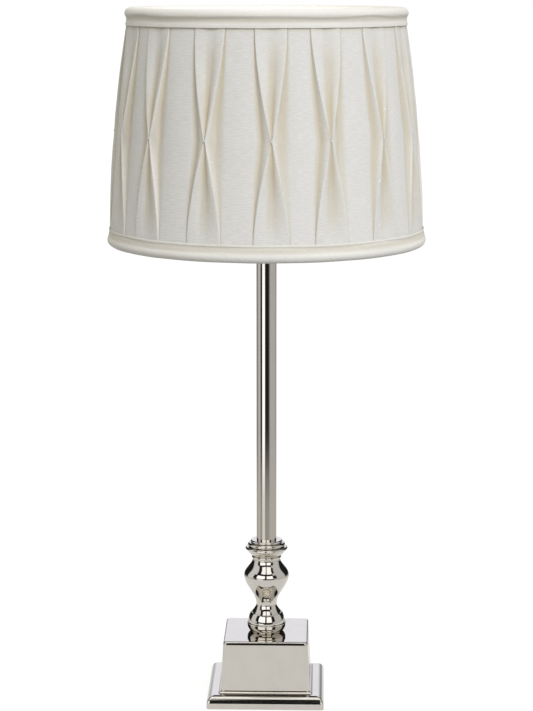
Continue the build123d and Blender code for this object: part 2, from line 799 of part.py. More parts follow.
def pinch_radius():
    """Radius of the fold edges where the pleats are pinched."""
    return liner_radius(pinch_level) + band_proud + CREST_PINCH


def shade_cover():
    """Pinch-pleated cover: each pleat narrows from both hems to a tack in the middle."""
    low = hem_level(True)
    high = hem_level(False)
    pinch_share = PINCH_WIDTH * PLEATS / (2 * math.pi * pinch_radius())
    middle_low = (PLEAT_SHARE_BOTTOM + pinch_share) / 2
    middle_high = (PLEAT_SHARE_TOP + pinch_share) / 2
    sections = [
        (low, PLEAT_SHARE_BOTTOM, CREST_HEM, VALLEY_DEPTH / 2),
        ((low + pinch_level) / 2, middle_low, CREST_MIDDLE, VALLEY_DEPTH),
        (pinch_level, pinch_share, CREST_PINCH, 0),
        ((high + pinch_level) / 2, middle_high, CREST_MIDDLE, VALLEY_DEPTH),
        (high, PLEAT_SHARE_TOP, CREST_HEM, VALLEY_DEPTH / 2),
    ]
    folds = Solid.make_loft([pleat_section(*section) for section in sections], ruled=True)
    core = turned_points(
        (0, low),
        (liner_radius(low) + SEW_GAP, low),
        (liner_radius(high) + SEW_GAP, high),
        (0, high),
    )
    cover = Part() + folds - core
    cover += cone_shell(band_level(True), low, SEW_GAP, band_proud)
    return cover + cone_shell(high, band_level(False), SEW_GAP, band_proud)


def pinch_tacks():
    """Thread tack across each pinch."""
    reach = pinch_radius() + TACK_GAP + TACK_THICKNESS / 2
    tack = Pos(0, -reach, pinch_level) * Box(TACK_LENGTH, TACK_THICKNESS, TACK_THICKNESS)
    return Compound(shade_pattern(tack, PLEATS))


def carrier_ring():
    """Flat ring that the ring nuts clamp."""
    return ring(carrier_radius, carrier_bore, carrier_bottom, CARRIER_THICKNESS)


def carrier_arm(radius):
    """One wire arm from the carrier ring down to the lower rim wire, facing +Y."""
    edge, way, outer, roll = edge_facts(True)
    level = carrier_bottom + CARRIER_THICKNESS / 2
    wire_radius = outer - 2 * roll + TAPE + SEW_GAP + WIRE_RADIUS
    path = FilletPolyline(
        (0, carrier_radius - ARM_RADIUS, level),
        (0, carrier_radius + ARM_LEVEL, level),
        (0, wire_radius, edge + way * roll),
        radius=ARM_BEND,
    )
    section = Plane(origin=path @ 0, z_dir=path % 0) * Circle(radius)
    return sweep(section, path=path)


def carrier_arms():
    """Three arms, each butted to the carrier ring and the lower rim wire."""
    bore = post(carrier_radius, carrier_bottom - ARM_BEND, 2 * ARM_BEND)
    arm = carrier_arm(ARM_RADIUS) - bore - rim_wire(True)
    arm = max(arm.solids(), key=lambda solid: solid.volume)
    return Compound([Rot(0, 0, 360.0 * i / ARMS) * arm for i in range(ARMS)])


def bottom_trim():
    """Lower trim with a slit for each arm."""
    trim = rim_trim(True)
    for slit in shade_pattern(carrier_arm(ARM_RADIUS + SEW_GAP), ARMS):
        trim -= slit
    return max(trim.solids(), key=lambda solid: solid.volume)


PIECES = {
    "foot_moulding": foot_moulding,
    "plinth_box": plinth_box,
    "weight_block": weight_block,
    "bottom_plate": bottom_plate,
    "plate_screws": plate_screws,
    "felt_pad": felt_pad,
    "cord_bush": cord_bush,
    "tie_rod": tie_rod,
    "rod_washer": rod_washer,
    "lower_rod_nut": lambda: hex_nut(lower_nut_top - NUT_HEIGHT),
    "upper_rod_nut": lambda: hex_nut(cap_top),
    "base_torus": base_torus,
    "dome_turning": dome_turning,
    "vase_turning": vase_turning,
    "ring_collar": ring_collar,
    "column_tube": column_tube,
    "tube_cap": tube_cap,
    "holder_cap": holder_cap,
    "holder_skirt": holder_skirt,
    "holder_insert": holder_insert,
    "screw_shell": screw_shell,
    "centre_contact": centre_contact,
    "switch_bar": switch_bar,
    "lower_shade_ring": lambda: shade_ring_nut(ring_bottom),
    "upper_shade_ring": lambda: shade_ring_nut(carrier_top),
    "lamp_tip_contact": lamp_tip_contact,
    "lamp_glaze": lamp_glaze,
    "lamp_cap": lamp_cap,
    "lamp_body": lamp_body,
    "lamp_diffuser": lamp_diffuser,
    "carrier_ring": carrier_ring,
    "carrier_arms": carrier_arms,
    "bottom_wire": lambda: rim_wire(True),
    "top_wire": lambda: rim_wire(False),
    "liner_drum": liner_drum,
    "shade_cover": shade_cover,
    "pinch_tacks": pinch_tacks,
    "bottom_trim": bottom_trim,
    "top_trim": lambda: rim_trim(False),
}

os.makedirs("parts", exist_ok=True)
for name, make in PIECES.items():
    export_step(make(), os.path.join("parts", name + ".step"))
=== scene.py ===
import logging
from dataclasses import dataclass
from enum import Enum
from math import atan2, cos, dist, exp, hypot, pi, radians, sin, sqrt, tan

import bmesh
import bpy
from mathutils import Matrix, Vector


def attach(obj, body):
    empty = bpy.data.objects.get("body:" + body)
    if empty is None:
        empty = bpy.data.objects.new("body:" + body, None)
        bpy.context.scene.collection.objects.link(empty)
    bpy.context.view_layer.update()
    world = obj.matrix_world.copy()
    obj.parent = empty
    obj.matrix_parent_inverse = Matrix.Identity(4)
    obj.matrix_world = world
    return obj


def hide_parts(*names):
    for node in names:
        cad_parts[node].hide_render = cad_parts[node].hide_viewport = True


# Table lamp: polished base, turned column and tube, switched lampholder with its lamp, and a
# pinch-pleated linen shade with folded tape trims. Sizes are in millimetres unless a docstring says
# otherwise; every mesh is written in metres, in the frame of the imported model.

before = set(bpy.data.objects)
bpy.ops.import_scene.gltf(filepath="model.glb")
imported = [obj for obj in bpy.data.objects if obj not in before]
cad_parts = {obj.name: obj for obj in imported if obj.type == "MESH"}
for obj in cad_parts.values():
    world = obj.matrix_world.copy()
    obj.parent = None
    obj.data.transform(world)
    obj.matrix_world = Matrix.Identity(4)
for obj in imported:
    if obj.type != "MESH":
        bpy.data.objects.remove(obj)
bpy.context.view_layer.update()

log = logging.getLogger("table_lamp")

Point = tuple[float, float]
Triple = tuple[float, float, float]
Rgb = tuple[float, float, float]
Knot = tuple[float, float, float]
Socket = bpy.types.NodeSocket
Sockets = tuple[Socket, ...]
Feeds = dict[int | str, object]
Node = bpy.types.Node
Mesh = bpy.types.Mesh
Piece = bpy.types.Object

MM = 0.001
FULL_TURN = 2 * pi
# A Mapping node with this scale turns metres into millimetres.
PER_METRE = (1000, 1000, 1000)
# Points closer than this many metres are one point.
SAME_POINT = 1e-6
# Edges shorter than this many metres are dissolved.
SLIVER = 1e-7


class Body(Enum):
    """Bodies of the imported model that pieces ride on."""

    STAND = "stand"
    SHADE = "shade"


class Slot(Enum):
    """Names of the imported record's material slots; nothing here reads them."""

    NICKEL = "polished_nickel"
    LINEN = "linen"
    TAPE = "linen_tape"
    THREAD = "thread"


class Rim(Enum):
    """The two rims of the shade, with the direction from the rim into the shade."""

    BOTTOM = 1
    TOP = -1


class Plug(Enum):
    """Kinds of sockets on the node trees that are built here."""

    VECTOR = "NodeSocketVector"
    NUMBER = "NodeSocketFloat"
    COUNT = "NodeSocketInt"
    SHAPE = "NodeSocketGeometry"
    FINISH = "NodeSocketMaterial"


class NodeSheet:
    """Thin helper over a node tree: places nodes, sets their values and joins sockets."""

    column_step = 220
    # Numbers of a Mix node's colour sockets.
    mix_inputs = (6, 7)
    mix_output = 2

    def __init__(self, tree: bpy.types.NodeTree) -> None:
        """Keeps the tree that the nodes go into."""
        self.tree = tree

    @classmethod
    def fresh(cls, owner: bpy.types.Material | bpy.types.World) -> "NodeSheet":
        """Empties the node tree of a material or a world.

        Args:
            owner: the material or world.

        Returns:
            A sheet over its tree.
        """
        owner.use_nodes = True
        owner.node_tree.nodes.clear()
        return cls(owner.node_tree)

    def fill(self, node: Node, feeds: Feeds) -> None:
        """Feeds a node's inputs.

        Args:
            node: a node of this tree.
            feeds: constants or output sockets, by the input's name or number.
        """
        for label, value in feeds.items():
            if isinstance(value, Socket):
                self.tree.links.new(value, node.inputs[label])
            else:
                node.inputs[label].default_value = value

    def add(self, kind: str, feeds: Feeds | None = None, **values: object) -> Node:
        """Places one node, sets its properties and feeds its inputs.

        Args:
            kind: Blender's type name of the node.
            feeds: constants or output sockets, by the input's name or number.
            **values: properties of the node, by name.

        Returns:
            The new node.
        """
        node = self.tree.nodes.new(kind)
        node.location.x = self.column_step * len(self.tree.nodes)
        for name, value in values.items():
            setattr(node, name, value)
        self.fill(node, feeds or {})
        return node

    def get(self, kind: str, feeds: Feeds | None = None, **values: object) -> Socket:
        """Places one node as add does, and gives its first output."""
        return self.add(kind, feeds, **values).outputs[0]

    def math(self, operation: str, first: object, *others: object) -> Socket:
        """Adds Math nodes that take the terms in turn.

        Args:
            operation: the operation of each node.
            first: a constant or an output socket.
            *others: the further terms; none where the operation takes one.

        Returns:
            The last node's output.
        """
        if not others:
            return self.get("ShaderNodeMath", {0: first}, operation=operation)
        for other in others:
            first = self.get("ShaderNodeMath", {0: first, 1: other}, operation=operation)
        return first

    def vector(self, operation: str, *terms: object) -> Socket:
        """Adds a Vector Math node on constants or output sockets, and gives its vector."""
        return self.get("ShaderNodeVectorMath", dict(enumerate(terms)), operation=operation)

    def span(
        self, value: object, low: float, high: float, to_low: float = 0.0, to_high: float = 1.0
    ) -> Socket:
        """Maps the range from low to high smoothly onto another one, which the result never leaves."""
        feeds = dict(enumerate((value, low, high, to_low, to_high)))
        return self.get("ShaderNodeMapRange", feeds, interpolation_type="SMOOTHSTEP")

    def blend(self, factor: object, first: object, second: object) -> Socket:
        """Mixes two colours.

        Args:
            factor: share of the second colour, a number or an output socket.
            first: colour or output socket at factor 0.
            second: colour or output socket at factor 1.

        Returns:
            The mixed colour.
        """
        feeds = {0: factor}
        for number, term in zip(self.mix_inputs, (first, second)):
            feeds[number] = (*term, 1.0) if isinstance(term, tuple) else term
        return self.add("ShaderNodeMix", feeds, data_type="RGBA").outputs[self.mix_output]

    def noise(self, vector: object, scale: object, detail: float = 2.0) -> Socket:
        """Adds a noise at a place, with a fineness and a number of octaves, and gives its value."""
        feeds = {"Vector": vector, "Scale": scale, "Detail": detail}
        return self.get("ShaderNodeTexNoise", feeds, noise_dimensions="3D")

    def group(self, tree: bpy.types.NodeTree, **values: object) -> Node:
        """Places a node group and feeds its inputs by name, with _ for a space."""
        feeds = {name.replace("_", " "): value for name, value in values.items()}
        return self.add("ShaderNodeGroup", feeds, node_tree=tree)


class NamedTree:
    """A node tree with named sockets, built the first time that it is asked for."""

    kind = "ShaderNodeTree"
    name = ""
    inputs: dict[str, Plug] = {}
    outputs: dict[str, Plug] = {}

    def __init__(self) -> None:
        """Finds the tree, or builds it with its sockets."""
        found = bpy.data.node_groups.get(self.name)
        self.tree = found or bpy.data.node_groups.new(self.name, self.kind)
        if found:
            return
        for way, sockets in (("INPUT", self.inputs), ("OUTPUT", self.outputs)):
            for label, plug in sockets.items():
                self.tree.interface.new_socket(label, in_out=way, socket_type=plug.value)
        self.sheet = NodeSheet(self.tree)
        source = self.sheet.add("NodeGroupInput")
        results = self.build(*source.outputs[: len(self.inputs)])
        self.sheet.add("NodeGroupOutput", dict(enumerate(results)))

    def build(self, *sources: Socket) -> Sockets:
        """Places the nodes between the tree's inputs and outputs; each tree has its own."""
        raise NotImplementedError


class LinenWeave(NamedTree):
    """Plain weave with slubs, pale patches and knots, from coordinates in millimetres along the cloth."""

    name = "linen weave"
    numbers = ("Pitch", "Slub Length", "Slub Width")
    inputs = {"Coordinates": Plug.VECTOR, **dict.fromkeys(numbers, Plug.NUMBER)}
    outputs = dict.fromkeys(("Height", "Slubs", "Patches", "Knots"), Plug.NUMBER)
    layers = (3.0, 17.0)
    weft_range = (0.36, 0.70)
    warp_range = (0.42, 0.74)
    warp_share = 0.7
    crossing_share = 0.30
    patch_scale = 0.035
    knot_spread = (0.022, 0.040, 0.0)
    knot_range = (0.025, 0.045)

    def build(self, place: Socket, pitch: Socket, length: Socket, width: Socket) -> Sockets:
        """Crosses the threads and lays slubs, patches and knots over them.

        Args:
            place: coordinates on the cloth.
            pitch: distance from thread to thread.
            length: length of a slub.
            width: width of a slub.

        Returns:
            Height, slubs, patches and knots.
        """
        sheet = self.sheet
        across, along, _ = sheet.add("ShaderNodeSeparateXYZ", {0: place}).outputs
        threads = []
        for side in (across, along):
            turn = sheet.math("DIVIDE", sheet.math("MULTIPLY", side, pi), pitch)
            threads.append(sheet.math("SINE", turn))
        streaks = []
        for first, second, layer in zip((across, along), (along, across), self.layers):
            far, aside = sheet.math("DIVIDE", first, length), sheet.math("DIVIDE", second, width)
            place_in = sheet.get("ShaderNodeCombineXYZ", {0: far, 1: aside, 2: layer})
            streaks.append(sheet.noise(place_in, 1.0, detail=3.0))
        weft = sheet.span(streaks[0], *self.weft_range)
        warp = sheet.math("MULTIPLY", sheet.span(streaks[1], *self.warp_range), self.warp_share)
        slubs = sheet.math("MAXIMUM", weft, warp)
        stretched = sheet.vector("MULTIPLY", place, self.knot_spread)
        cells = sheet.add("ShaderNodeTexVoronoi", {"Vector": stretched, "Scale": 1.0}, feature="F1")
        knots = sheet.span(cells.outputs["Distance"], *self.knot_range, 1.0, 0.0)
        crossing = sheet.math("MULTIPLY", *threads, self.crossing_share)
        height = sheet.math("ADD", crossing, slubs, knots)
        return height, slubs, sheet.noise(place, self.patch_scale), knots


class SoftMottle(NamedTree):
    """Cloudy variation with a finer grain on top, from coordinates in millimetres."""

    name = "soft mottle"
    inputs = {"Coordinates": Plug.VECTOR, "Cloud Scale": Plug.NUMBER, "Grain Scale": Plug.NUMBER}
    outputs = {"Clouds": Plug.NUMBER, "Grain": Plug.NUMBER}
    cloud_range = (0.3, 0.7)

    def build(self, place: Socket, cloud_scale: Socket, grain_scale: Socket) -> Sockets:
        """Lays clouds and grain from two noises, and gives both."""
        clouds = self.sheet.span(self.sheet.noise(place, cloud_scale, detail=3.0), *self.cloud_range)
        return clouds, self.sheet.noise(place, grain_scale, detail=4.0)


class PolishMarks(NamedTree):
    """Hair-fine level streaks left by a polishing wheel, with soft hazy patches."""

    name = "polish marks"
    inputs = {"Coordinates": Plug.VECTOR, "Fineness": Plug.NUMBER}
    outputs = {"Streaks": Plug.NUMBER, "Haze": Plug.NUMBER}
    streak_stretch = (0.12, 0.12, 4.0)
    haze_scale = 0.06
    haze_range = (0.35, 0.75)

    def build(self, place: Socket, fineness: Socket) -> Sockets:
        """Draws the streaks out level and lays the haze.

        Args:
            place: coordinates on the piece.
            fineness: fineness of the streaks.

        Returns:
            Streaks and haze.
        """
        sheet = self.sheet
        drawn = sheet.vector("MULTIPLY", place, self.streak_stretch)
        streaks = sheet.noise(drawn, fineness, detail=4.0)
        haze = sheet.span(sheet.noise(place, self.haze_scale, detail=3.0), *self.haze_range)
        return streaks, haze


@dataclass(frozen=True)
class Finish:
    """One surface finish, built as a node material the first time that it is asked for."""

    name: str
    colour: Rgb
    second: Rgb
    roughness: float
    spread: float

    def material(self) -> bpy.types.Material:
        """Gives the finish's material, building it once.

        Returns:
            The material.
        """
        found = bpy.data.materials.get(self.name)
        if found:
            return found
        made = bpy.data.materials.new(self.name)
        made.diffuse_color = (*self.colour, 1.0)
        sheet = NodeSheet.fresh(made)
        shader = sheet.get("ShaderNodeBsdfPrincipled", self.wire(sheet))
        sheet.add("ShaderNodeOutputMaterial", {0: shader})
        return made

    def place(self, sheet: NodeSheet, scale: Triple = PER_METRE) -> Socket:
        """Gives object coordinates, in millimetres where no other scale is named."""
        source = sheet.add("ShaderNodeTexCoord").outputs["Object"]
        return sheet.get("ShaderNodeMapping", {"Vector": source, "Scale": scale})

    def mottle(self, sheet: NodeSheet, clouds: float, grain: float) -> tuple[Socket, Socket]:
        """Lays the shared mottle on the surface.

        Args:
            sheet: the material's node sheet.
            clouds: fineness of the clouds.
            grain: fineness of the grain.

        Returns:
            The clouded colour and the grain.
        """
        tree = SoftMottle().tree
        cover = sheet.group(tree, Coordinates=self.place(sheet), Cloud_Scale=clouds, Grain_Scale=grain)
        return sheet.blend(cover.outputs["Clouds"], self.colour, self.second), cover.outputs["Grain"]

    def bump(self, sheet: NodeSheet, height: Socket, strength: float, depth: float) -> Socket:
        """Gives the normal of a surface that a pattern raises, with a strength and a depth."""
        feeds = {"Strength": strength, "Distance": depth * MM, "Height": height}
        return sheet.get("ShaderNodeBump", feeds)

    def rough(self, sheet: NodeSheet, pattern: Socket) -> Socket:
        """Varies the roughness by a pattern, from roughness up by spread."""
        return sheet.span(pattern, 0.0, 1.0, self.roughness, self.roughness + self.spread)

    def wire(self, sheet: NodeSheet) -> Feeds:
        """Gives what the shader's sockets are fed with; each kind of finish has its own."""
        raise NotImplementedError


@dataclass(frozen=True)
class PolishedMetal(Finish):
    """Bright plated metal with faint level polishing streaks."""

    fineness: float = 0.9
    strength: float = 0.02
    relief: float = 0.02

    def wire(self, sheet: NodeSheet) -> Feeds:
        """Takes haze as colour, and streaks as roughness and a very shallow bump.

        Args:
            sheet: the material's node sheet.

        Returns:
            The shader's feeds.
        """
        marks = sheet.group(PolishMarks().tree, Coordinates=self.place(sheet), Fineness=self.fineness)
        streaks = marks.outputs["Streaks"]
        return {
            "Base Color": sheet.blend(marks.outputs["Haze"], self.colour, self.second),
            "Metallic": 1.0,
            "Roughness": self.rough(sheet, streaks),
            "Normal": self.bump(sheet, streaks, self.strength, self.relief),
        }


@dataclass(frozen=True)
class Moulding(Finish):
    """Moulded, coated or glazed surface: slight colour drift and a fine skin."""

    clouds: float = 0.08
    grain: float = 1.4
    metallic: float = 0.0
    coat: float = 0.0
    coat_roughness: float = 0.12
    strength: float = 0.25
    relief: float = 0.02
    glow: float = 0.0
    glow_radius: Triple = (0.004, 0.004, 0.003)

    def wire(self, sheet: NodeSheet) -> Feeds:
        """Takes the drift as colour, and the skin as roughness and bump.

        Args:
            sheet: the material's node sheet.

        Returns:
            The shader's feeds.
        """
        colour, skin = self.mottle(sheet, self.clouds, self.grain)
        return {
            "Base Color": colour,
            "Metallic": self.metallic,
            "Roughness": self.rough(sheet, skin),
            "Normal": self.bump(sheet, skin, self.strength, self.relief),
            "Coat Weight": self.coat,
            "Coat Roughness": self.coat_roughness,
            "Subsurface Weight": self.glow,
            "Subsurface Radius": self.glow_radius,
        }


@dataclass(frozen=True)
class RawMetal(Moulding):
    """Metal as cast, passivated or worn: cloudier in colour and coarser than a moulding."""

    clouds: float = 0.12
    grain: float = 2.0
    metallic: float = 1.0
    strength: float = 0.35
    relief: float = 0.03


@dataclass(frozen=True)
class Felt(Finish):
    """Pressed felt: matted fibres in two tones."""

    clouds: float = 0.5
    grain: float = 3.5
    fibre_scale: Triple = (1700, 700, 900)
    strength: float = 0.8
    relief: float = 0.6
    sheen: float = 0.3
    gloss: float = 0.1

    def wire(self, sheet: NodeSheet) -> Feeds:
        """Takes clouds as colour, grain as roughness, and matted fibres as bump.

        Args:
            sheet: the material's node sheet.

        Returns:
            The shader's feeds.
        """
        colour, grain = self.mottle(sheet, self.clouds, self.grain)
        feeds = {"Vector": self.place(sheet, self.fibre_scale)}
        fibre = sheet.add("ShaderNodeTexVoronoi", feeds, feature="DISTANCE_TO_EDGE")
        mat = sheet.math("MULTIPLY", fibre.outputs["Distance"], grain)
        return {
            "Base Color": colour,
            "Roughness": self.rough(sheet, grain),
            "Normal": self.bump(sheet, mat, self.strength, self.relief),
            "Sheen Weight": self.sheen,
            "Specular IOR Level": self.gloss,
        }


@dataclass(frozen=True)
class WovenCloth(Finish):
    """Linen: a plain weave with slubs, and a warmer painted shade in the folds where the piece has them."""

    bright: Rgb = (0.90, 0.892, 0.865)
    # Colour of the painted shade in the folds: darker and warmer than the cloth.
    fold: Rgb = (0.65, 0.582, 0.438)
    knot: Rgb = (0.97, 0.97, 0.96)
    turn: float = 0.0
    pitch: float = 0.62
    slub_length: float = 6.5
    slub_width: float = 0.95
    slub_share: float = 0.5
    strength: float = 0.45
    relief: float = 0.16
    # Whether the piece carries a painted shade mask for its folds.
    folds: bool = False
    fold_shade_power: float = 1.2
    knots: float = 0.0
    sheen: float = 0.12
    sheen_roughness: float = 0.5
    gloss: float = 0.12

    def place(self, sheet: NodeSheet, scale: Triple = PER_METRE) -> Socket:
        """Gives the coordinates along the cloth, turned where it is cut on the bias."""
        feeds = {"Vector": sheet.get("ShaderNodeUVMap", uv_map="cloth"), "Scale": scale}
        return sheet.get("ShaderNodeMapping", {**feeds, "Rotation": (0, 0, radians(self.turn))})

    def wire(self, sheet: NodeSheet) -> Feeds:
        """Takes the weave as colour, roughness and bump, and the folds' painted shade as colour.

        Args:
            sheet: the material's node sheet.

        Returns:
            The shader's feeds.
        """
        weave = sheet.group(
            LinenWeave().tree,
            Coordinates=self.place(sheet),
            Pitch=self.pitch,
            Slub_Length=self.slub_length,
            Slub_Width=self.slub_width,
        )
        slubs = weave.outputs["Slubs"]
        tone = sheet.blend(weave.outputs["Patches"], self.colour, self.second)
        tone = sheet.blend(sheet.math("MULTIPLY", slubs, self.slub_share), tone, self.bright)
        if self.folds:
            # Painted shade: the mask darkens and warms the colour in the folds.
            depth = sheet.add("ShaderNodeAttribute", attribute_name="painted_shade").outputs["Fac"]
            tone = sheet.blend(sheet.math("POWER", depth, self.fold_shade_power), tone, self.fold)
        if self.knots:
            tone = sheet.blend(sheet.math("MULTIPLY", weave.outputs["Knots"], self.knots), tone, self.knot)
        return {
            "Base Color": tone,
            "Roughness": self.rough(sheet, slubs),
            "Normal": self.bump(sheet, weave.outputs["Height"], self.strength, self.relief),
            "Sheen Weight": self.sheen,
            "Sheen Roughness": self.sheen_roughness,
            "Specular IOR Level": self.gloss,
        }


NICKEL = PolishedMetal("nickel polish", (0.70, 0.665, 0.61), (0.675, 0.64, 0.585), 0.035, 0.05)
IRON = RawMetal(
    "sand-cast iron",
    (0.09, 0.085, 0.08), (0.14, 0.12, 0.10), 0.6, 0.25, clouds=0.06, grain=0.9, metallic=0.6, relief=0.35,
)
ZINC = RawMetal("zinc passivate", (0.60, 0.61, 0.62), (0.66, 0.63, 0.55), 0.28, 0.25)
BRASS = RawMetal("contact brass", (0.78, 0.58, 0.26), (0.62, 0.45, 0.22), 0.22, 0.25)
LAMP_SHELL = RawMetal("lamp cap plating", (0.72, 0.72, 0.71), (0.64, 0.63, 0.60), 0.2, 0.2)
BLACK = Moulding("black thermoset", (0.018, 0.017, 0.017), (0.028, 0.026, 0.025), 0.26, 0.16, coat=0.25)
CERAMIC = Moulding("glazed insert", (0.82, 0.80, 0.75), (0.76, 0.74, 0.69), 0.25, 0.2, coat=0.4)
LAMP_GLASS = Moulding("black lamp glass", (0.02, 0.02, 0.025), (0.035, 0.03, 0.03), 0.08, 0.1, coat=0.6)
LAMP_WHITE = Moulding("white lamp body", (0.84, 0.84, 0.83), (0.80, 0.80, 0.79), 0.35, 0.18)
OPAL = Moulding("opal diffuser", (0.93, 0.93, 0.91), (0.89, 0.89, 0.87), 0.32, 0.14, glow=0.25)
WHITE_COAT = Moulding(
    "white powder coat", (0.86, 0.86, 0.84), (0.80, 0.80, 0.78), 0.38, 0.2, grain=2.6, relief=0.06
)
LINER = Moulding(
    "white shade liner",
    (0.88, 0.87, 0.84), (0.84, 0.83, 0.79), 0.55, 0.2, clouds=0.03, grain=1.8, relief=0.05,
)
FELT = Felt("charcoal felt", (0.035, 0.037, 0.036), (0.060, 0.060, 0.056), 0.85, 0.15)
LINEN = WovenCloth(
    "off-white linen", (0.765, 0.757, 0.733), (0.735, 0.726, 0.70), 0.8, 0.15, folds=True, knots=0.9
)
TAPE = WovenCloth(
    "ivory linen tape",
    (0.83, 0.815, 0.77), (0.80, 0.785, 0.735), 0.78, 0.15, turn=45.0, relief=0.3, folds=True,
)
THREAD = WovenCloth(
    "white sewing thread",
    (0.86, 0.855, 0.83), (0.82, 0.81, 0.78), 0.6, 0.2, turn=30.0, pitch=0.3, relief=0.08,
)

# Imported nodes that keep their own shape, by the finish that they get.
KEPT_NODES: dict[Finish, tuple[str, ...]] = {
    IRON: ("weight_block",),
    ZINC: ("bottom_plate", "plate_screws", "tie_rod", "rod_washer", "lower_rod_nut", "upper_rod_nut"),
    FELT: ("felt_pad",),
    BLACK: ("cord_bush", "holder_cap", "holder_skirt", "switch_bar", "lower_shade_ring", "upper_shade_ring"),
    CERAMIC: ("holder_insert",),
    BRASS: ("screw_shell", "centre_contact"),
    LAMP_SHELL: ("lamp_tip_contact", "lamp_cap"),
    LAMP_GLASS: ("lamp_glaze",),
    LAMP_WHITE: ("lamp_body",),
    OPAL: ("lamp_diffuser",),
    WHITE_COAT: ("carrier_ring", "carrier_arms", "bottom_wire", "top_wire"),
    LINER: ("liner_drum",),
}


class Outline:
    """Outline of a turned or swept piece as (radius, height) points, with corners rounded on request."""

    # A rounding takes at most this share of the sides beside it.
    most_share = 0.45
    rounding_steps = 6
    # A holding point beside a rounding keeps the flat next to it flat, where the side has room.
    hold_share = 0.3
    hold_gap = 0.12
    hold_room = 2.2

    def __init__(self) -> None:
        """Starts empty."""
        self.corners: list[Triple] = []

    def to(self, radius: float, height: float, rounding: float = 0.0) -> "Outline":
        """Goes straight to a point, with a rounded corner there on request."""
        self.corners.append((radius, height, rounding))
        return self

    def through(self, points: list[Point]) -> "Outline":
        """Goes along a run of close points."""
        self.corners += [(radius, height, 0.0) for radius, height in points]
        return self

    def arc(self, middle: Point, end: Point, steps: int = 14) -> "Outline":
        """Goes along a circular arc from the last point, through a middle point to its end."""
        start = self.corners[-1][:2]
        return self.through(arc_points(start, middle, end, steps)[1:])

    def points(self) -> list[Point]:
        """Gives the closed outline with its corners rounded and a holding point beside each.

        Returns:
            The points in order, without a repeat of the first.
        """
        made: list[Point] = []
        count = len(self.corners)
        for i, (radius, height, rounding) in enumerate(self.corners):
            here = Vector((radius, height))
            if rounding <= 0:
                made.append((here.x, here.y))
                continue
            before = Vector(self.corners[i - 1][:2]) - here
            after = Vector(self.corners[(i + 1) % count][:2]) - here
            angle = before.angle(after)
            room = self.most_share * before.length, self.most_share * after.length
            reach = min(rounding / tan(angle / 2), *room)
            hold = reach + self.hold_share * rounding + self.hold_gap
            first, last = here + reach * before.normalized(), here + reach * after.normalized()
            bulge = (before.normalized() + after.normalized()).normalized()
            size = reach * tan(angle / 2)
            top = here + bulge * (size / sin(angle / 2) - size)
            if before.length > self.hold_room * hold:
                made.append(tuple(here + hold * before.normalized()))
            made += arc_points(tuple(first), tuple(top), tuple(last), self.rounding_steps)
            if after.length > self.hold_room * hold:
                made.append(tuple(here + hold * after.normalized()))
        return made


def arc_points(start: Point, middle: Point, end: Point, steps: int) -> list[Point]:
    """Points along the circular arc through three points.

    Args:
        start: first point.
        middle: a point on the arc.
        end: last point.
        steps: straight pieces that the arc is made of.

    Returns:
        steps + 1 points.
    """
    (ax, ay), (bx, by), (cx, cy) = start, middle, end
    double = 2 * (ax * (by - cy) + bx * (cy - ay) + cx * (ay - by))
    squares = [x * x + y * y for x, y in (start, middle, end)]
    ox = (squares[0] * (by - cy) + squares[1] * (cy - ay) + squares[2] * (ay - by)) / double
    oy = (squares[0] * (cx - bx) + squares[1] * (ax - cx) + squares[2] * (bx - ax)) / double
    radius = hypot(ax - ox, ay - oy)
    first, mid, last = (atan2(y - oy, x - ox) for x, y in (start, middle, end))
    sweep = (last - first) % FULL_TURN
    if (mid - first) % FULL_TURN > sweep:
        sweep -= FULL_TURN
    turns = [first + sweep * i / steps for i in range(steps + 1)]
    return [(ox + radius * cos(a), oy + radius * sin(a)) for a in turns]


def smooth_run(knots: list[tuple[Point, Point]], steps: int) -> list[Point]:
    """Smooth curve through points with given directions.

    Args:
        knots: (point, direction) pairs in order.
        steps: straight pieces between two knots.

    Returns:
        Points along the curve, ends included.
    """
    made: list[Point] = []
    for (p, pd), (q, qd) in zip(knots, knots[1:]):
        chord = dist(p, q)
        m = [chord * d / hypot(*pd) for d in pd]
        n = [chord * d / hypot(*qd) for d in qd]
        for i in range(steps):
            t = i / steps
            h = (2 * t**3 - 3 * t**2 + 1, t**3 - 2 * t**2 + t, 3 * t**2 - 2 * t**3, t**3 - t**2)
            made.append(tuple(h[0] * p[k] + h[1] * m[k] + h[2] * q[k] + h[3] * n[k] for k in (0, 1)))
    return made + [knots[-1][0]]


def round_steps(count: int) -> list[float]:
    """Angles of a full turn in equal steps, without a repeat of the first."""
    return [FULL_TURN * i / count for i in range(count)]


def round_wave(angle: float, count: int, start: float = 0.0, bend: float = 0.0, bends: int = 0) -> float:
    """Wave that comes so many times to the turn, drawn together and apart by a slower one on request."""
    return sin(count * angle + start + bend * sin(bends * angle))


def clamped(value: float) -> float:
    """Holds a value between 0 and 1."""
    return min(max(value, 0.0), 1.0)


def put_in_scene(name: str, data: bpy.types.ID) -> Piece:
    """Puts a mesh, a light or a camera into the scene.

    Args:
        name: name of its object.
        data: what the object holds.

    Returns:
        The object.
    """
    made = bpy.data.objects.new(name, data)
    bpy.context.scene.collection.objects.link(made)
    return made


def keep_result(piece: Piece) -> None:
    """Replaces a piece's mesh by what its modifiers make of it, and removes them.

    Args:
        piece: the piece.
    """
    bpy.context.view_layer.update()
    shape = piece.evaluated_get(bpy.context.evaluated_depsgraph_get())
    before, result = piece.data, bpy.data.meshes.new_from_object(shape)
    piece.modifiers.clear()
    piece.data = result
    bpy.data.meshes.remove(before)
    result.name = piece.name


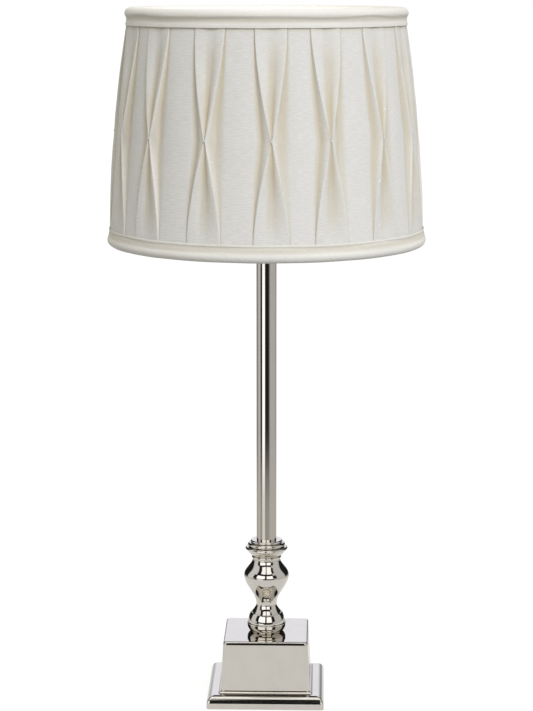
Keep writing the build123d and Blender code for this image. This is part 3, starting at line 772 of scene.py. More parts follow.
class GeometryTree(NamedTree):
    """A Geometry Nodes tree that is run on a mesh and leaves a plain mesh."""

    kind = "GeometryNodeTree"
    outputs = {"Geometry": Plug.SHAPE}

    def painted(self, shape: Socket, material: Socket) -> Sockets:
        """Makes every instance real and gives the shape its finish, as each tree ends."""
        real = self.sheet.get("GeometryNodeRealizeInstances", {"Geometry": shape})
        return (self.sheet.get("GeometryNodeSetMaterial", {"Geometry": real, "Material": material}),)

    def run(self, name: str, mesh: Mesh, **values: object) -> Piece:
        """Runs the tree on a mesh and keeps the result as a plain mesh.

        Args:
            name: name of the finished object.
            mesh: the tree's input geometry.
            **values: values of the named inputs, with _ for a space.

        Returns:
            The finished object, with no modifier.
        """
        made = put_in_scene(name, mesh)
        modifier = made.modifiers.new(self.name, "NODES")
        modifier.node_group = self.tree
        items = self.tree.interface.items_tree
        sockets = {item.name: item.identifier for item in items if item.in_out == "INPUT"}
        for label, value in values.items():
            modifier[sockets[label.replace("_", " ")]] = value
        keep_result(made)
        return made


class TurningTree(GeometryTree):
    """Turns an outline about the lamp's axis."""

    name = "turned outline"
    inputs = {"Geometry": Plug.SHAPE, "Segments": Plug.COUNT, "Material": Plug.FINISH}

    def build(self, outline: Socket, segments: Socket, material: Socket) -> Sockets:
        """Lays a grid of points on the turned outline, closes its seam and gives it its finish.

        Args:
            outline: points of the closed outline, the first repeated at the end.
            segments: steps round the axis.
            material: the finish.

        Returns:
            The turned shape.
        """
        sheet = self.sheet
        size = sheet.add("GeometryNodeAttributeDomainSize", {"Geometry": outline}, component="MESH")
        rows = size.outputs["Point Count"]
        columns = sheet.math("ADD", segments, 1.0)
        grid = sheet.get("GeometryNodeMeshGrid", {"Vertices X": columns, "Vertices Y": rows})
        index = sheet.get("GeometryNodeInputIndex")
        row = sheet.math("MODULO", index, rows)
        column = sheet.math("FLOOR", sheet.math("DIVIDE", sheet.math("ADD", index, 0.5), rows))
        feeds = {"Geometry": outline, "Value": sheet.get("GeometryNodeInputPosition"), "Index": row}
        sample = sheet.get("GeometryNodeSampleIndex", feeds, data_type="FLOAT_VECTOR", domain="POINT")
        angle = sheet.math("DIVIDE", sheet.math("MULTIPLY", column, FULL_TURN), segments)
        feeds = {"Vector": sample, "Angle": angle}
        turned = sheet.get("ShaderNodeVectorRotate", feeds, rotation_type="Z_AXIS")
        placed = sheet.get("GeometryNodeSetPosition", {"Geometry": grid, "Position": turned})
        merged = sheet.get("GeometryNodeMergeByDistance", {"Geometry": placed, "Distance": SAME_POINT})
        return self.painted(merged, material)


class RoundArrayTree(GeometryTree):
    """Repeats one pleat round the lamp's axis, with the small unevenness of hand sewing."""

    name = "pleats round the shade"
    numbers = ("Turn", "Cloth Width", "Wander Wide", "Wander Near", "Spread", "Drift", "Ripple", "Seed")
    inputs = {
        "Geometry": Plug.SHAPE,
        "Count": Plug.COUNT,
        **dict.fromkeys(numbers, Plug.NUMBER),
        "Material": Plug.FINISH,
    }
    # Points of neighbouring pleats closer than this many metres are one point.
    seam = 2e-5
    # Shares of a pleat's pitch from its middle, between which the panel beside it stretches.
    panel_range = (0.3, 0.5)
    wide_waves = 4.0
    near_waves = 7.0
    near_start = 1.405
    drift_scale = 22.0
    ripple_scale = 28.0

    def stored(self, name: str, kind: str = "FLOAT") -> Socket:
        """Reads an attribute that the mesh carries."""
        return self.sheet.get("GeometryNodeInputNamedAttribute", {"Name": name}, data_type=kind)

    def build(self, *sources: Socket) -> Sockets:
        """Copies the pleat round, lays the cloth coordinates end to end and shifts the pleats a little.

        Args:
            *sources: the tree's inputs, in their order.

        Returns:
            The whole round of pleats.
        """
        sheet = self.sheet
        pleat, count, turn, width, wide, near, spread, drift, ripple, seed, material = sources
        index = sheet.get("GeometryNodeInputIndex")
        step = sheet.math("DIVIDE", sheet.math("MULTIPLY", index, FULL_TURN), count)
        rotation = sheet.get("ShaderNodeCombineXYZ", {"Z": sheet.math("ADD", step, turn)})
        points = sheet.get("GeometryNodePoints", {"Count": count})
        feeds = {"Points": points, "Instance": pleat, "Rotation": rotation}
        copies = sheet.get("GeometryNodeInstanceOnPoints", feeds)
        feeds = {"Geometry": copies, "Name": "pleat", "Value": index}
        tagged = sheet.get("GeometryNodeStoreNamedAttribute", feeds, data_type="FLOAT", domain="INSTANCE")
        real = sheet.get("GeometryNodeRealizeInstances", {"Geometry": tagged})
        before = sheet.math("MULTIPLY", self.stored("pleat"), width)
        along = sheet.get("ShaderNodeCombineXYZ", {"X": before})
        laid = sheet.vector("ADD", self.stored("cloth", "FLOAT_VECTOR"), along)
        feeds = {"Geometry": real, "Name": "cloth", "Value": laid}
        mapped = sheet.get("GeometryNodeStoreNamedAttribute", feeds, data_type="FLOAT2", domain="CORNER")
        clean = sheet.get("GeometryNodeRemoveAttribute", {"Geometry": mapped, "Name": "pleat"})
        merged = sheet.get("GeometryNodeMergeByDistance", {"Geometry": clean, "Distance": self.seam})
        wandered = self.wander(merged, count, turn, (wide, near, spread))
        return self.painted(self.unsettle(wandered, drift, ripple, seed), material)

    def wander(self, cloth: Socket, count: Socket, turn: Socket, waves: Sockets) -> Socket:
        """Shifts whole pleats round the axis by three slow waves; only the panels between them stretch.

        Args:
            cloth: the geometry.
            count: number of pleats.
            turn: angle of the first pleat.
            waves: sizes of the waves of four, seven and one to the turn.

        Returns:
            The shifted geometry.
        """
        sheet = self.sheet
        wide, near, spread = waves
        position = sheet.get("GeometryNodeInputPosition")
        x, y, _ = sheet.add("ShaderNodeSeparateXYZ", {"Vector": position}).outputs
        front = sheet.math("MULTIPLY", y, -1.0)
        angle = sheet.math("SUBTRACT", sheet.math("ARCTAN2", x, front), turn)
        pitch = sheet.math("DIVIDE", FULL_TURN, count)
        share = sheet.math("DIVIDE", angle, pitch)
        nearest = sheet.math("ROUND", share)
        aside = sheet.math("SUBTRACT", share, nearest)
        most = self.panel_range[1]
        stretch = sheet.span(sheet.math("ABSOLUTE", aside), *self.panel_range, 0.0, most)
        step = sheet.math("MULTIPLY", sheet.math("SIGN", aside), stretch)
        angle = sheet.math("MULTIPLY", sheet.math("ADD", nearest, step), pitch)
        slow = sheet.math("COSINE", sheet.math("MULTIPLY", angle, self.wide_waves))
        quick = sheet.math("ADD", sheet.math("MULTIPLY", angle, self.near_waves), self.near_start)
        shifts = (
            sheet.math("MULTIPLY", slow, wide),
            sheet.math("MULTIPLY", sheet.math("COSINE", quick), near),
            sheet.math("MULTIPLY", sheet.math("SINE", angle), spread),
        )
        feeds = {"Vector": position, "Angle": sheet.math("ADD", *shifts)}
        turned = sheet.get("ShaderNodeVectorRotate", feeds, rotation_type="Z_AXIS")
        return sheet.get("GeometryNodeSetPosition", {"Geometry": cloth, "Position": turned})

    def unsettle(self, cloth: Socket, drift: Socket, ripple: Socket, seed: Socket) -> Socket:
        """Lifts pinches up and down and ripples the cloth outwards, where it is free of the hems.

        Args:
            cloth: the geometry.
            drift: most that a pinch moves up or down.
            ripple: most that the cloth moves out or in.
            seed: number that the unevenness follows.

        Returns:
            The moved geometry.
        """
        sheet = self.sheet
        position = sheet.get("GeometryNodeInputPosition")
        level = sheet.vector("MULTIPLY", position, (1.0, 1.0, 0.0))
        moves = []
        for place, scale, size in ((level, self.drift_scale, drift), (position, self.ripple_scale, ripple)):
            feeds = {"Vector": place, "W": seed, "Scale": scale}
            noise = sheet.get("ShaderNodeTexNoise", feeds, noise_dimensions="4D")
            aside = sheet.math("SUBTRACT", noise, 0.5)
            moves.append(sheet.math("MULTIPLY", aside, size, self.stored("free")))
        rise, swell = moves
        outward = sheet.vector("NORMALIZE", level)
        push = sheet.get("ShaderNodeVectorMath", {0: outward, "Scale": swell}, operation="SCALE")
        offset = sheet.vector("ADD", push, sheet.get("ShaderNodeCombineXYZ", {"Z": rise}))
        return sheet.get("GeometryNodeSetPosition", {"Geometry": cloth, "Offset": offset})


def turn_piece(
    name: str, outline: Outline, finish: Finish, segments: int = 144, crease: float = 38.0
) -> Piece:
    """Turns a closed outline about the lamp's axis.

    Args:
        name: the piece's name.
        outline: the closed outline.
        finish: the piece's finish.
        segments: steps round the axis.
        crease: angle in degrees from which an edge is sharp.

    Returns:
        The finished piece.
    """
    points = outline.points()
    points.append(points[0])
    mesh = bpy.data.meshes.new(name)
    edges = [(i, i + 1) for i in range(len(points) - 1)]
    mesh.from_pydata([(r * MM, 0.0, z * MM) for r, z in points], edges, [])
    made = TurningTree().run(name, mesh, Segments=segments, Material=finish.material())
    close_mesh(made.data, crease)
    return made


def close_mesh(mesh: Mesh, crease: float) -> None:
    """Merges doubles, points the faces outwards and sets smooth shading with sharp edges.

    Args:
        mesh: the mesh.
        crease: angle in degrees from which an edge is sharp.
    """
    work = bmesh.new()
    work.from_mesh(mesh)
    bmesh.ops.remove_doubles(work, verts=work.verts, dist=SAME_POINT)
    bmesh.ops.dissolve_degenerate(work, dist=SLIVER, edges=work.edges)
    bmesh.ops.recalc_face_normals(work, faces=work.faces)
    work.to_mesh(mesh)
    work.free()
    mesh.shade_smooth()
    mesh.set_sharp_from_angle(angle=radians(crease))


def quad_grid(name: str, rows: list[list[Triple]], wrap_rows: bool, wrap_columns: bool) -> Mesh:
    """Joins rows of points into a mesh of quads.

    Args:
        name: the mesh's name.
        rows: points of each row in metres, all rows alike in number.
        wrap_rows: whether the last row joins the first.
        wrap_columns: whether each row closes on itself.

    Returns:
        The mesh.
    """
    wide, tall = len(rows[0]), len(rows)
    faces = []
    for i in range(tall if wrap_rows else tall - 1):
        for j in range(wide if wrap_columns else wide - 1):
            a, b = i * wide, ((i + 1) % tall) * wide
            k = (j + 1) % wide
            faces.append((a + j, a + k, b + k, b + j))
    mesh = bpy.data.meshes.new(name)
    mesh.from_pydata([point for row in rows for point in row], [], faces)
    return mesh


def mark_points(mesh: Mesh, name: str, values: list[float]) -> None:
    """Gives a mesh a named value at each of its points."""
    mesh.attributes.new(name, "FLOAT", "POINT").data.foreach_set("value", values)


def cut_away(piece: Piece, tool: Piece) -> None:
    """Takes a closed tool away from a piece and removes the tool.

    Args:
        piece: the piece to cut.
        tool: the closed mesh to take away.
    """
    modifier = piece.modifiers.new("cut", "BOOLEAN")
    modifier.object = tool
    modifier.operation = "DIFFERENCE"
    modifier.solver = "EXACT"
    keep_result(piece)
    bpy.data.objects.remove(tool)


def settle(piece: Piece, body: Body, node: str) -> Piece:
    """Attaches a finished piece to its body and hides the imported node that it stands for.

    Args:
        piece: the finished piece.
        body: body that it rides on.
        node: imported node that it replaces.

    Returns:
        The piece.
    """
    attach(piece, body.value)
    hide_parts(node)
    log.info("%s: %d faces, on %s", piece.name, len(piece.data.polygons), body.value)
    return piece


@dataclass
class SquareBase:
    """Polished square foot with a quarter round and a listel, and the leaning plinth on it."""

    foot_half: float = 56.0
    foot_bottom: float = 0.5
    foot_edge: float = 0.5
    fascia_top: float = 5.0
    round_top: float = 12.5
    quarter_steps: int = 20
    foot_corner: float = 2.5
    # How much sharper the foot's corners get inwards, per millimetre, and the sharpest of them.
    corner_taper: float = 0.55
    least_corner: float = 0.7
    listel_half: float = 45.0
    listel_top: float = 14.5
    listel_slope: float = 1.5
    listel_edge: float = 0.25
    listel_foot: float = 0.35
    opening_half: float = 37.07
    cavity_half: float = 52.0
    cavity_top: float = 10.0
    plinth_half: float = 43.0
    plinth_half_top: float = 40.5
    plinth_top: float = 62.5
    plinth_edge: float = 2.8
    # Insets and heights of the small rounding at the plinth's foot.
    plinth_seam: tuple[Point, ...] = ((0.3, 0.0), (0.08, 0.1), (0.0, 0.35))
    # Half width and corner of a loop between the plinth's edge and the rod's hole.
    plinth_ring: Point = (20.0, 8.0)
    wall: float = 2.0
    wall_corner: float = 0.6
    roof: float = 3.0
    rod_hole: float = 5.3
    cord_hole: float = 5.1
    cord_level: float = 26.5
    drill_reach: float = 12.0
    drill_sides: int = 64
    corner_steps: int = 7
    edge_steps: int = 8
    # Distance of the loops that hold a flat face flat from the rounding beside it.
    hold: float = 0.5
    hold_share: float = 0.2
    hold_foot: float = 0.8
    # Distance of the foot's holding points from the ends of its quarter round.
    hold_round: float = 0.4
    # The plinth's corners are this much rounder than its edge, and have this radius on its top.
    corner_gain: float = 0.1
    crease: float = 40.0

    def loop(self, half: float, corner: float, height: float) -> list[Triple]:
        """Points of one level rounded square.

        Args:
            half: half its width.
            corner: radius of its corners.
            height: its level.

        Returns:
            The points in metres, with a holding point beside each corner.
        """
        corner = min(corner, half)
        inner = half - corner
        hold = min(self.hold, self.hold_share * inner)
        centre = Vector((inner, inner))
        turns = [pi / 2 * i / self.corner_steps for i in range(self.corner_steps + 1)]
        arc = [centre + corner * Vector((cos(a), sin(a))) for a in turns]
        arc = [arc[0] - Vector((0.0, hold)), *arc, arc[-1] - Vector((hold, 0.0))]
        points = []
        for quarter in range(4):
            c, s = cos(quarter * pi / 2), sin(quarter * pi / 2)
            points += [((x * c - y * s) * MM, (x * s + y * c) * MM, height * MM) for x, y in arc]
        return points

    def moulding(self) -> Outline:
        """Outline of the foot: upright edge, quarter round, listel and the cavity below.

        Returns:
            The outline, as half widths and heights.
        """
        reach = self.round_top - self.fascia_top
        round_end = self.foot_half - reach
        middle = (self.foot_half - reach * (1 - sqrt(0.5)), self.fascia_top + reach * sqrt(0.5))
        outline = Outline().to(self.cavity_half, self.foot_bottom)
        outline.to(self.foot_half, self.foot_bottom, self.foot_edge)
        outline.to(self.foot_half, self.fascia_top - self.hold_round).to(self.foot_half, self.fascia_top)
        outline.arc(middle, (round_end, self.round_top), self.quarter_steps)
        outline.to(round_end - self.hold_round, self.round_top)
        outline.to(self.listel_half, self.round_top, self.listel_foot)
        outline.to(self.listel_half, self.listel_top - self.listel_slope, self.listel_edge)
        outline.to(self.plinth_half, self.listel_top).to(self.opening_half, self.listel_top)
        return outline.to(self.opening_half, self.cavity_top).to(self.cavity_half, self.cavity_top)

    def square(self, name: str, loops: list[list[Triple]]) -> Piece:
        """Joins level loops into a closed nickel piece.

        Args:
            name: the piece's name.
            loops: the loops in order, the last joined to the first.

        Returns:
            The piece.
        """
        mesh = quad_grid(name, loops, True, True)
        close_mesh(mesh, self.crease)
        mesh.materials.append(NICKEL.material())
        return put_in_scene(name, mesh)

    def build_foot(self) -> Piece:
        """Builds the foot from level loops that follow its moulding.

        Returns:
            The foot.
        """
        loops = []
        for half, height in self.moulding().points():
            corner = self.foot_corner + self.corner_taper * (half - self.foot_half)
            loops.append(self.loop(half, max(corner, self.least_corner), height))
        return self.square("nickel_foot", loops)

    def build_plinth(self) -> Piece:
        """Builds the leaning hollow plinth with its rod hole and cord hole.

        Returns:
            The plinth.
        """
        low, top, edge = self.listel_top, self.plinth_top, self.plinth_edge
        lean = (self.plinth_half - self.plinth_half_top) / (top - low)
        shoulder = self.plinth_half_top + lean * edge
        corner = edge + self.corner_gain
        levels = []
        for inset, rise in self.plinth_seam:
            levels.append((self.plinth_half - inset, edge + min(rise, self.corner_gain), low + rise))
        levels.append((self.plinth_half - lean * self.hold_foot, corner, low + self.hold_foot))
        levels.append((shoulder + lean * self.hold, corner, top - edge - self.hold))
        for i in range(self.edge_steps + 1):
            angle = pi / 2 * i / self.edge_steps
            half = shoulder - edge * (1 - cos(angle))
            rounding = max(corner - (shoulder - half), self.corner_gain)
            levels.append((half, rounding, top - edge * (1 - sin(angle))))
        under = top - self.roof
        inner_top = self.plinth_half_top + lean * self.roof - self.wall
        levels += [
            (shoulder - edge - self.hold, self.corner_gain, top),
            (*self.plinth_ring, top),
            (self.rod_hole, self.rod_hole, top),
            (self.rod_hole, self.rod_hole, under),
            (inner_top, self.wall_corner, under),
            (self.plinth_half - self.wall, self.wall_corner, low),
        ]
        plinth = self.square("nickel_plinth", [self.loop(*level) for level in levels])
        cut_away(plinth, self.cord_drill())
        close_mesh(plinth.data, self.crease)
        return plinth

    def cord_drill(self) -> Piece:
        """Builds the level drill for the cord's hole in the back wall.

        Returns:
            The drill.
        """
        near, far = self.plinth_half - self.drill_reach, self.plinth_half + self.drill_reach
        rows = []
        for radius, y in ((0.0, near), (self.cord_hole, near), (self.cord_hole, far), (0.0, far)):
            ring = [(radius * cos(a), radius * sin(a)) for a in round_steps(self.drill_sides)]
            rows.append([(x * MM, y * MM, (self.cord_level + z) * MM) for x, z in ring])
        mesh = quad_grid("cord_drill", rows, False, True)
        close_mesh(mesh, self.crease)
        return put_in_scene("cord_drill", mesh)

    def build(self) -> None:
        """Builds and dresses the base."""
        settle(self.build_foot(), Body.STAND, "foot_moulding")
        settle(self.build_plinth(), Body.STAND, "plinth_box")


@dataclass
class TurnedColumn:
    """Cushion ring, dome, vase, bead collar, tube and tube cap, stacked on the plinth.

    Bulges are pairs: the share of a curve's height at which its middle point lies, and the share of its
    change in radius that it has made by then.
    """

    bottom: float
    hole: float
    cushion_height: float = 9.0
    cushion_radius: float = 18.6
    cushion_seat: float = 15.3
    cushion_widest: float = 0.65
    cushion_bulge: Point = (0.38, 0.8)
    cushion_edge: float = 0.7
    dome_height: float = 10.0
    dome_radius: float = 17.7
    dome_ledge: float = 0.9
    dome_bulge: Point = (0.5, 0.22)
    # Widths and heights of the small slopes at the dome's lower and upper edge.
    dome_low_edge: Point = (0.4, 0.35)
    dome_high_edge: Point = (0.3, 0.3)
    vase_height: float = 54.5
    vase_foot: float = 14.2
    vase_steps: int = 26
    waist_radius: float = 9.9
    waist_height: float = 8.5
    belly_radius: float = 21.6
    belly_height: float = 37.3
    neck_radius: float = 13.5
    # Directions of the vase's curve at its foot and its neck.
    foot_way: Point = (-0.75, 1.0)
    neck_way: Point = (0.2, 1.0)
    bead_radii: tuple[float, ...] = (14.3, 20.3, 17.9, 15.4)
    bead_heights: tuple[float, ...] = (2.0, 3.4, 4.0, 2.7)
    bowl: float = 5.9
    bowl_bulge: Point = (0.44, 0.56)
    bowl_steps: int = 12
    tube_radius: float = 9.5
    tube_wall: float = 1.0
    tube_length: float = 307.0
    tube_edge: float = 0.2
    tube_stops: tuple[float, ...] = (0.25, 0.5, 0.75)
    socket_depth: float = 4.0
    socket_gap: float = 0.1
    cap_overhang: float = 2.5
    cap_thickness: float = 3.0
    cap_spigot: float = 8.0
    cap_edge: float = 0.4
    cap_under_edge: float = 0.3

    def seat(self, parts: int) -> float:
        """Level on top of so many parts of the stack."""
        beads = sum(self.bead_heights) + self.bowl
        return self.bottom + sum((self.cushion_height, self.dome_height, self.vase_height, beads)[:parts])

    def cushion(self) -> Outline:
        """Outline of the cushion ring on the plinth.

        Returns:
            The outline.
        """
        low, high = self.seat(0), self.seat(1)
        height, change = self.cushion_bulge
        bulge = self.cushion_seat + change * (self.cushion_radius - self.cushion_seat)
        widest = (self.cushion_radius, low + self.cushion_widest * self.cushion_height)
        outline = Outline().to(self.hole, low).to(self.cushion_seat, low)
        outline.arc((bulge, low + height * self.cushion_height), widest)
        return outline.to(self.cushion_radius, high, self.cushion_edge).to(self.hole, high)

    def dome(self) -> Outline:
        """Outline of the low dome.

        Returns:
            The outline.
        """
        low, high = self.seat(1), self.seat(2)
        top = self.vase_foot + self.dome_ledge
        height, change = self.dome_bulge
        bulge = self.dome_radius - change * (self.dome_radius - top)
        in_low, up_low = self.dome_low_edge
        in_high, down_high = self.dome_high_edge
        outline = Outline().to(self.hole, low)
        outline.to(self.dome_radius - in_low, low).to(self.dome_radius, low + up_low)
        outline.arc((bulge, low + height * self.dome_height), (top, high - down_high))
        return outline.to(top - in_high, high).to(self.hole, high)

    def vase(self) -> Outline:
        """Outline of the vase: spread foot, waist, belly and neck.

        Returns:
            The outline.
        """
        low, high = self.seat(2), self.seat(3)
        upright = (0.0, 1.0)
        knots = [
            ((self.vase_foot, low), self.foot_way),
            ((self.waist_radius, low + self.waist_height), upright),
            ((self.belly_radius, low + self.belly_height), upright),
            ((self.neck_radius, high), self.neck_way),
        ]
        return Outline().to(self.hole, low).through(smooth_run(knots, self.vase_steps)).to(self.hole, high)

    def collar(self) -> Outline:
        """Outline of the half-round beads, with a small bowl between the first and the second.

        Returns:
            The outline.
        """
        level, core = self.seat(3), self.hole
        height_share, width_share = self.bowl_bulge
        outline = Outline().to(core, level)
        for i, (radius, height) in enumerate(zip(self.bead_radii, self.bead_heights)):
            below, core = core, radius - height / 2
            if i == 1:
                bulge = (below + width_share * (core - below), level + height_share * self.bowl)
                level += self.bowl
                outline.arc(bulge, (core, level), self.bowl_steps)
            else:
                outline.to(core, level)
            outline.arc((radius, level + height / 2), (core, level + height))
            level += height
        socket = self.tube_radius + self.socket_gap
        outline.to(socket, level).to(socket, level - self.socket_depth)
        return outline.to(self.hole, level - self.socket_depth)

    def tube_levels(self) -> Point:
        """Lowest and highest level of the tube."""
        low = self.seat(4) - self.socket_depth
        return low, low + self.tube_length

    def tube(self) -> Outline:
        """Outline of the tube's wall, with points on the way so that its faces aren't too long.

        Returns:
            The outline.
        """
        low, high = self.tube_levels()
        inner = self.tube_radius - self.tube_wall
        outline = Outline().to(inner, low).to(self.tube_radius, low, self.tube_edge)
        for share in self.tube_stops:
            outline.to(self.tube_radius, low + share * (high - low))
        return outline.to(self.tube_radius, high, self.tube_edge).to(inner, high)

    def cap(self) -> Outline:
        """Outline of the flanged cap in the tube's upper end.

        Returns:
            The outline.
        """
        level = self.tube_levels()[1]
        foot, top, slope = level - self.cap_spigot, level + self.cap_thickness, self.cap_thickness / 2
        spigot = self.tube_radius - self.tube_wall - self.socket_gap
        rim = self.tube_radius + self.cap_overhang
        outline = Outline().to(self.hole, foot).to(spigot, foot, self.cap_edge).to(spigot, level)
        outline.to(rim, level, self.cap_under_edge).to(rim, level + slope, self.cap_edge)
        return outline.to(rim - slope, top, self.cap_edge).to(self.hole, top)

    def build(self) -> None:
        """Builds and dresses the column."""
        pieces = {
            "nickel_cushion": (self.cushion(), "base_torus"),
            "nickel_dome": (self.dome(), "dome_turning"),
            "nickel_vase": (self.vase(), "vase_turning"),
            "nickel_collar": (self.collar(), "ring_collar"),
            "nickel_tube": (self.tube(), "column_tube"),
            "nickel_tube_cap": (self.cap(), "tube_cap"),
        }
        for name, (outline, node) in pieces.items():
            settle(turn_piece(name, outline, NICKEL), Body.STAND, node)


@dataclass
class ShadeShape:
    """Sizes of the drum that the cover, tacks and trims share.

    Turn, wander and spread are in degrees: where the first pleat stands, and how far the pleats lie from
    even spacing. Drift and ripple are how far the cloth lies from an even form, upwards and outwards.
    """

    bottom: float = 442.55
    height: float = 220.0
    liner_bottom: float = 146.8
    liner_top: float = 126.5
    edge_bottom: float = 150.0
    edge_top: float = 131.5
    hem_low: float = 458.6
    hem_high: float = 646.2
    pinch: float = 548.55
    pleats: int = 16
    # Height above the liner at which the widths of folds are measured.
    fold_line: float = 2.0
    turn: float = 2.1
    wander_wide: float = 0.92
    wander_near: float = 0.97
    spread: float = 2.2
    drift: float = 3.0
    ripple: float = 1.2
    seed: float = 4.0
    # Cloth that goes into one pleat, and height of the cover's cut with its turnings.
    cloth_width: float = 62.5
    cut_height: float = 215.0

    def liner(self, level: float) -> float:
        """Outside radius of the liner at a level."""
        taper = self.liner_top - self.liner_bottom
        return self.liner_bottom + taper * (level - self.bottom) / self.height

    def share_up(self, level: float) -> float:
        """Share of the way from the lower hem to the upper one, from 0 to 1."""
        return clamped((level - self.hem_low) / (self.hem_high - self.hem_low))

    def array(self, name: str, mesh: Mesh, finish: Finish, ripple: float) -> Piece:
        """Repeats one pleat's mesh round the shade.

        Args:
            name: the piece's name.
            mesh: one pleat's part, at the back of the shade.
            finish: the piece's finish.
            ripple: how far the piece may ripple.

        Returns:
            The finished piece.
        """
        return RoundArrayTree().run(
            name,
            mesh,
            Count=self.pleats,
            Turn=radians(self.turn),
            Cloth_Width=self.cloth_width * MM,
            Wander_Wide=radians(self.wander_wide),
            Wander_Near=radians(self.wander_near),
            Spread=radians(self.spread),
            Drift=self.drift * MM,
            Ripple=ripple * MM,
            Seed=self.seed,
            Material=finish.material(),
        )


@dataclass(frozen=True)
class PleatLevel:
    """Sizes of one pleat's cross-section at one level, along the liner and above it.

    Closeness runs from 0 at a hem to 1 at the pinch; flat is the share of the height left under a trim.
    """

    closeness: float
    upper: bool
    pitch: float
    fold: float
    edge: float
    crest: float
    groove: float
    floor: float
    side: float
    swell: float
    flat: float


@dataclass(frozen=True)
class FoldSide:
    """How the cloth runs down from one edge of a fold into the panel beside it.

    Steep and slope are the shares of the gap that the wall spreads over at a hem and at the pinch. Draw is
    how much narrower the gap is at the pinch, and the tones say how much painted shade the gap takes above
    and below that.
    """

    steep: float
    slope: float
    draw: float
    tone_upper: float
    tone_lower: float


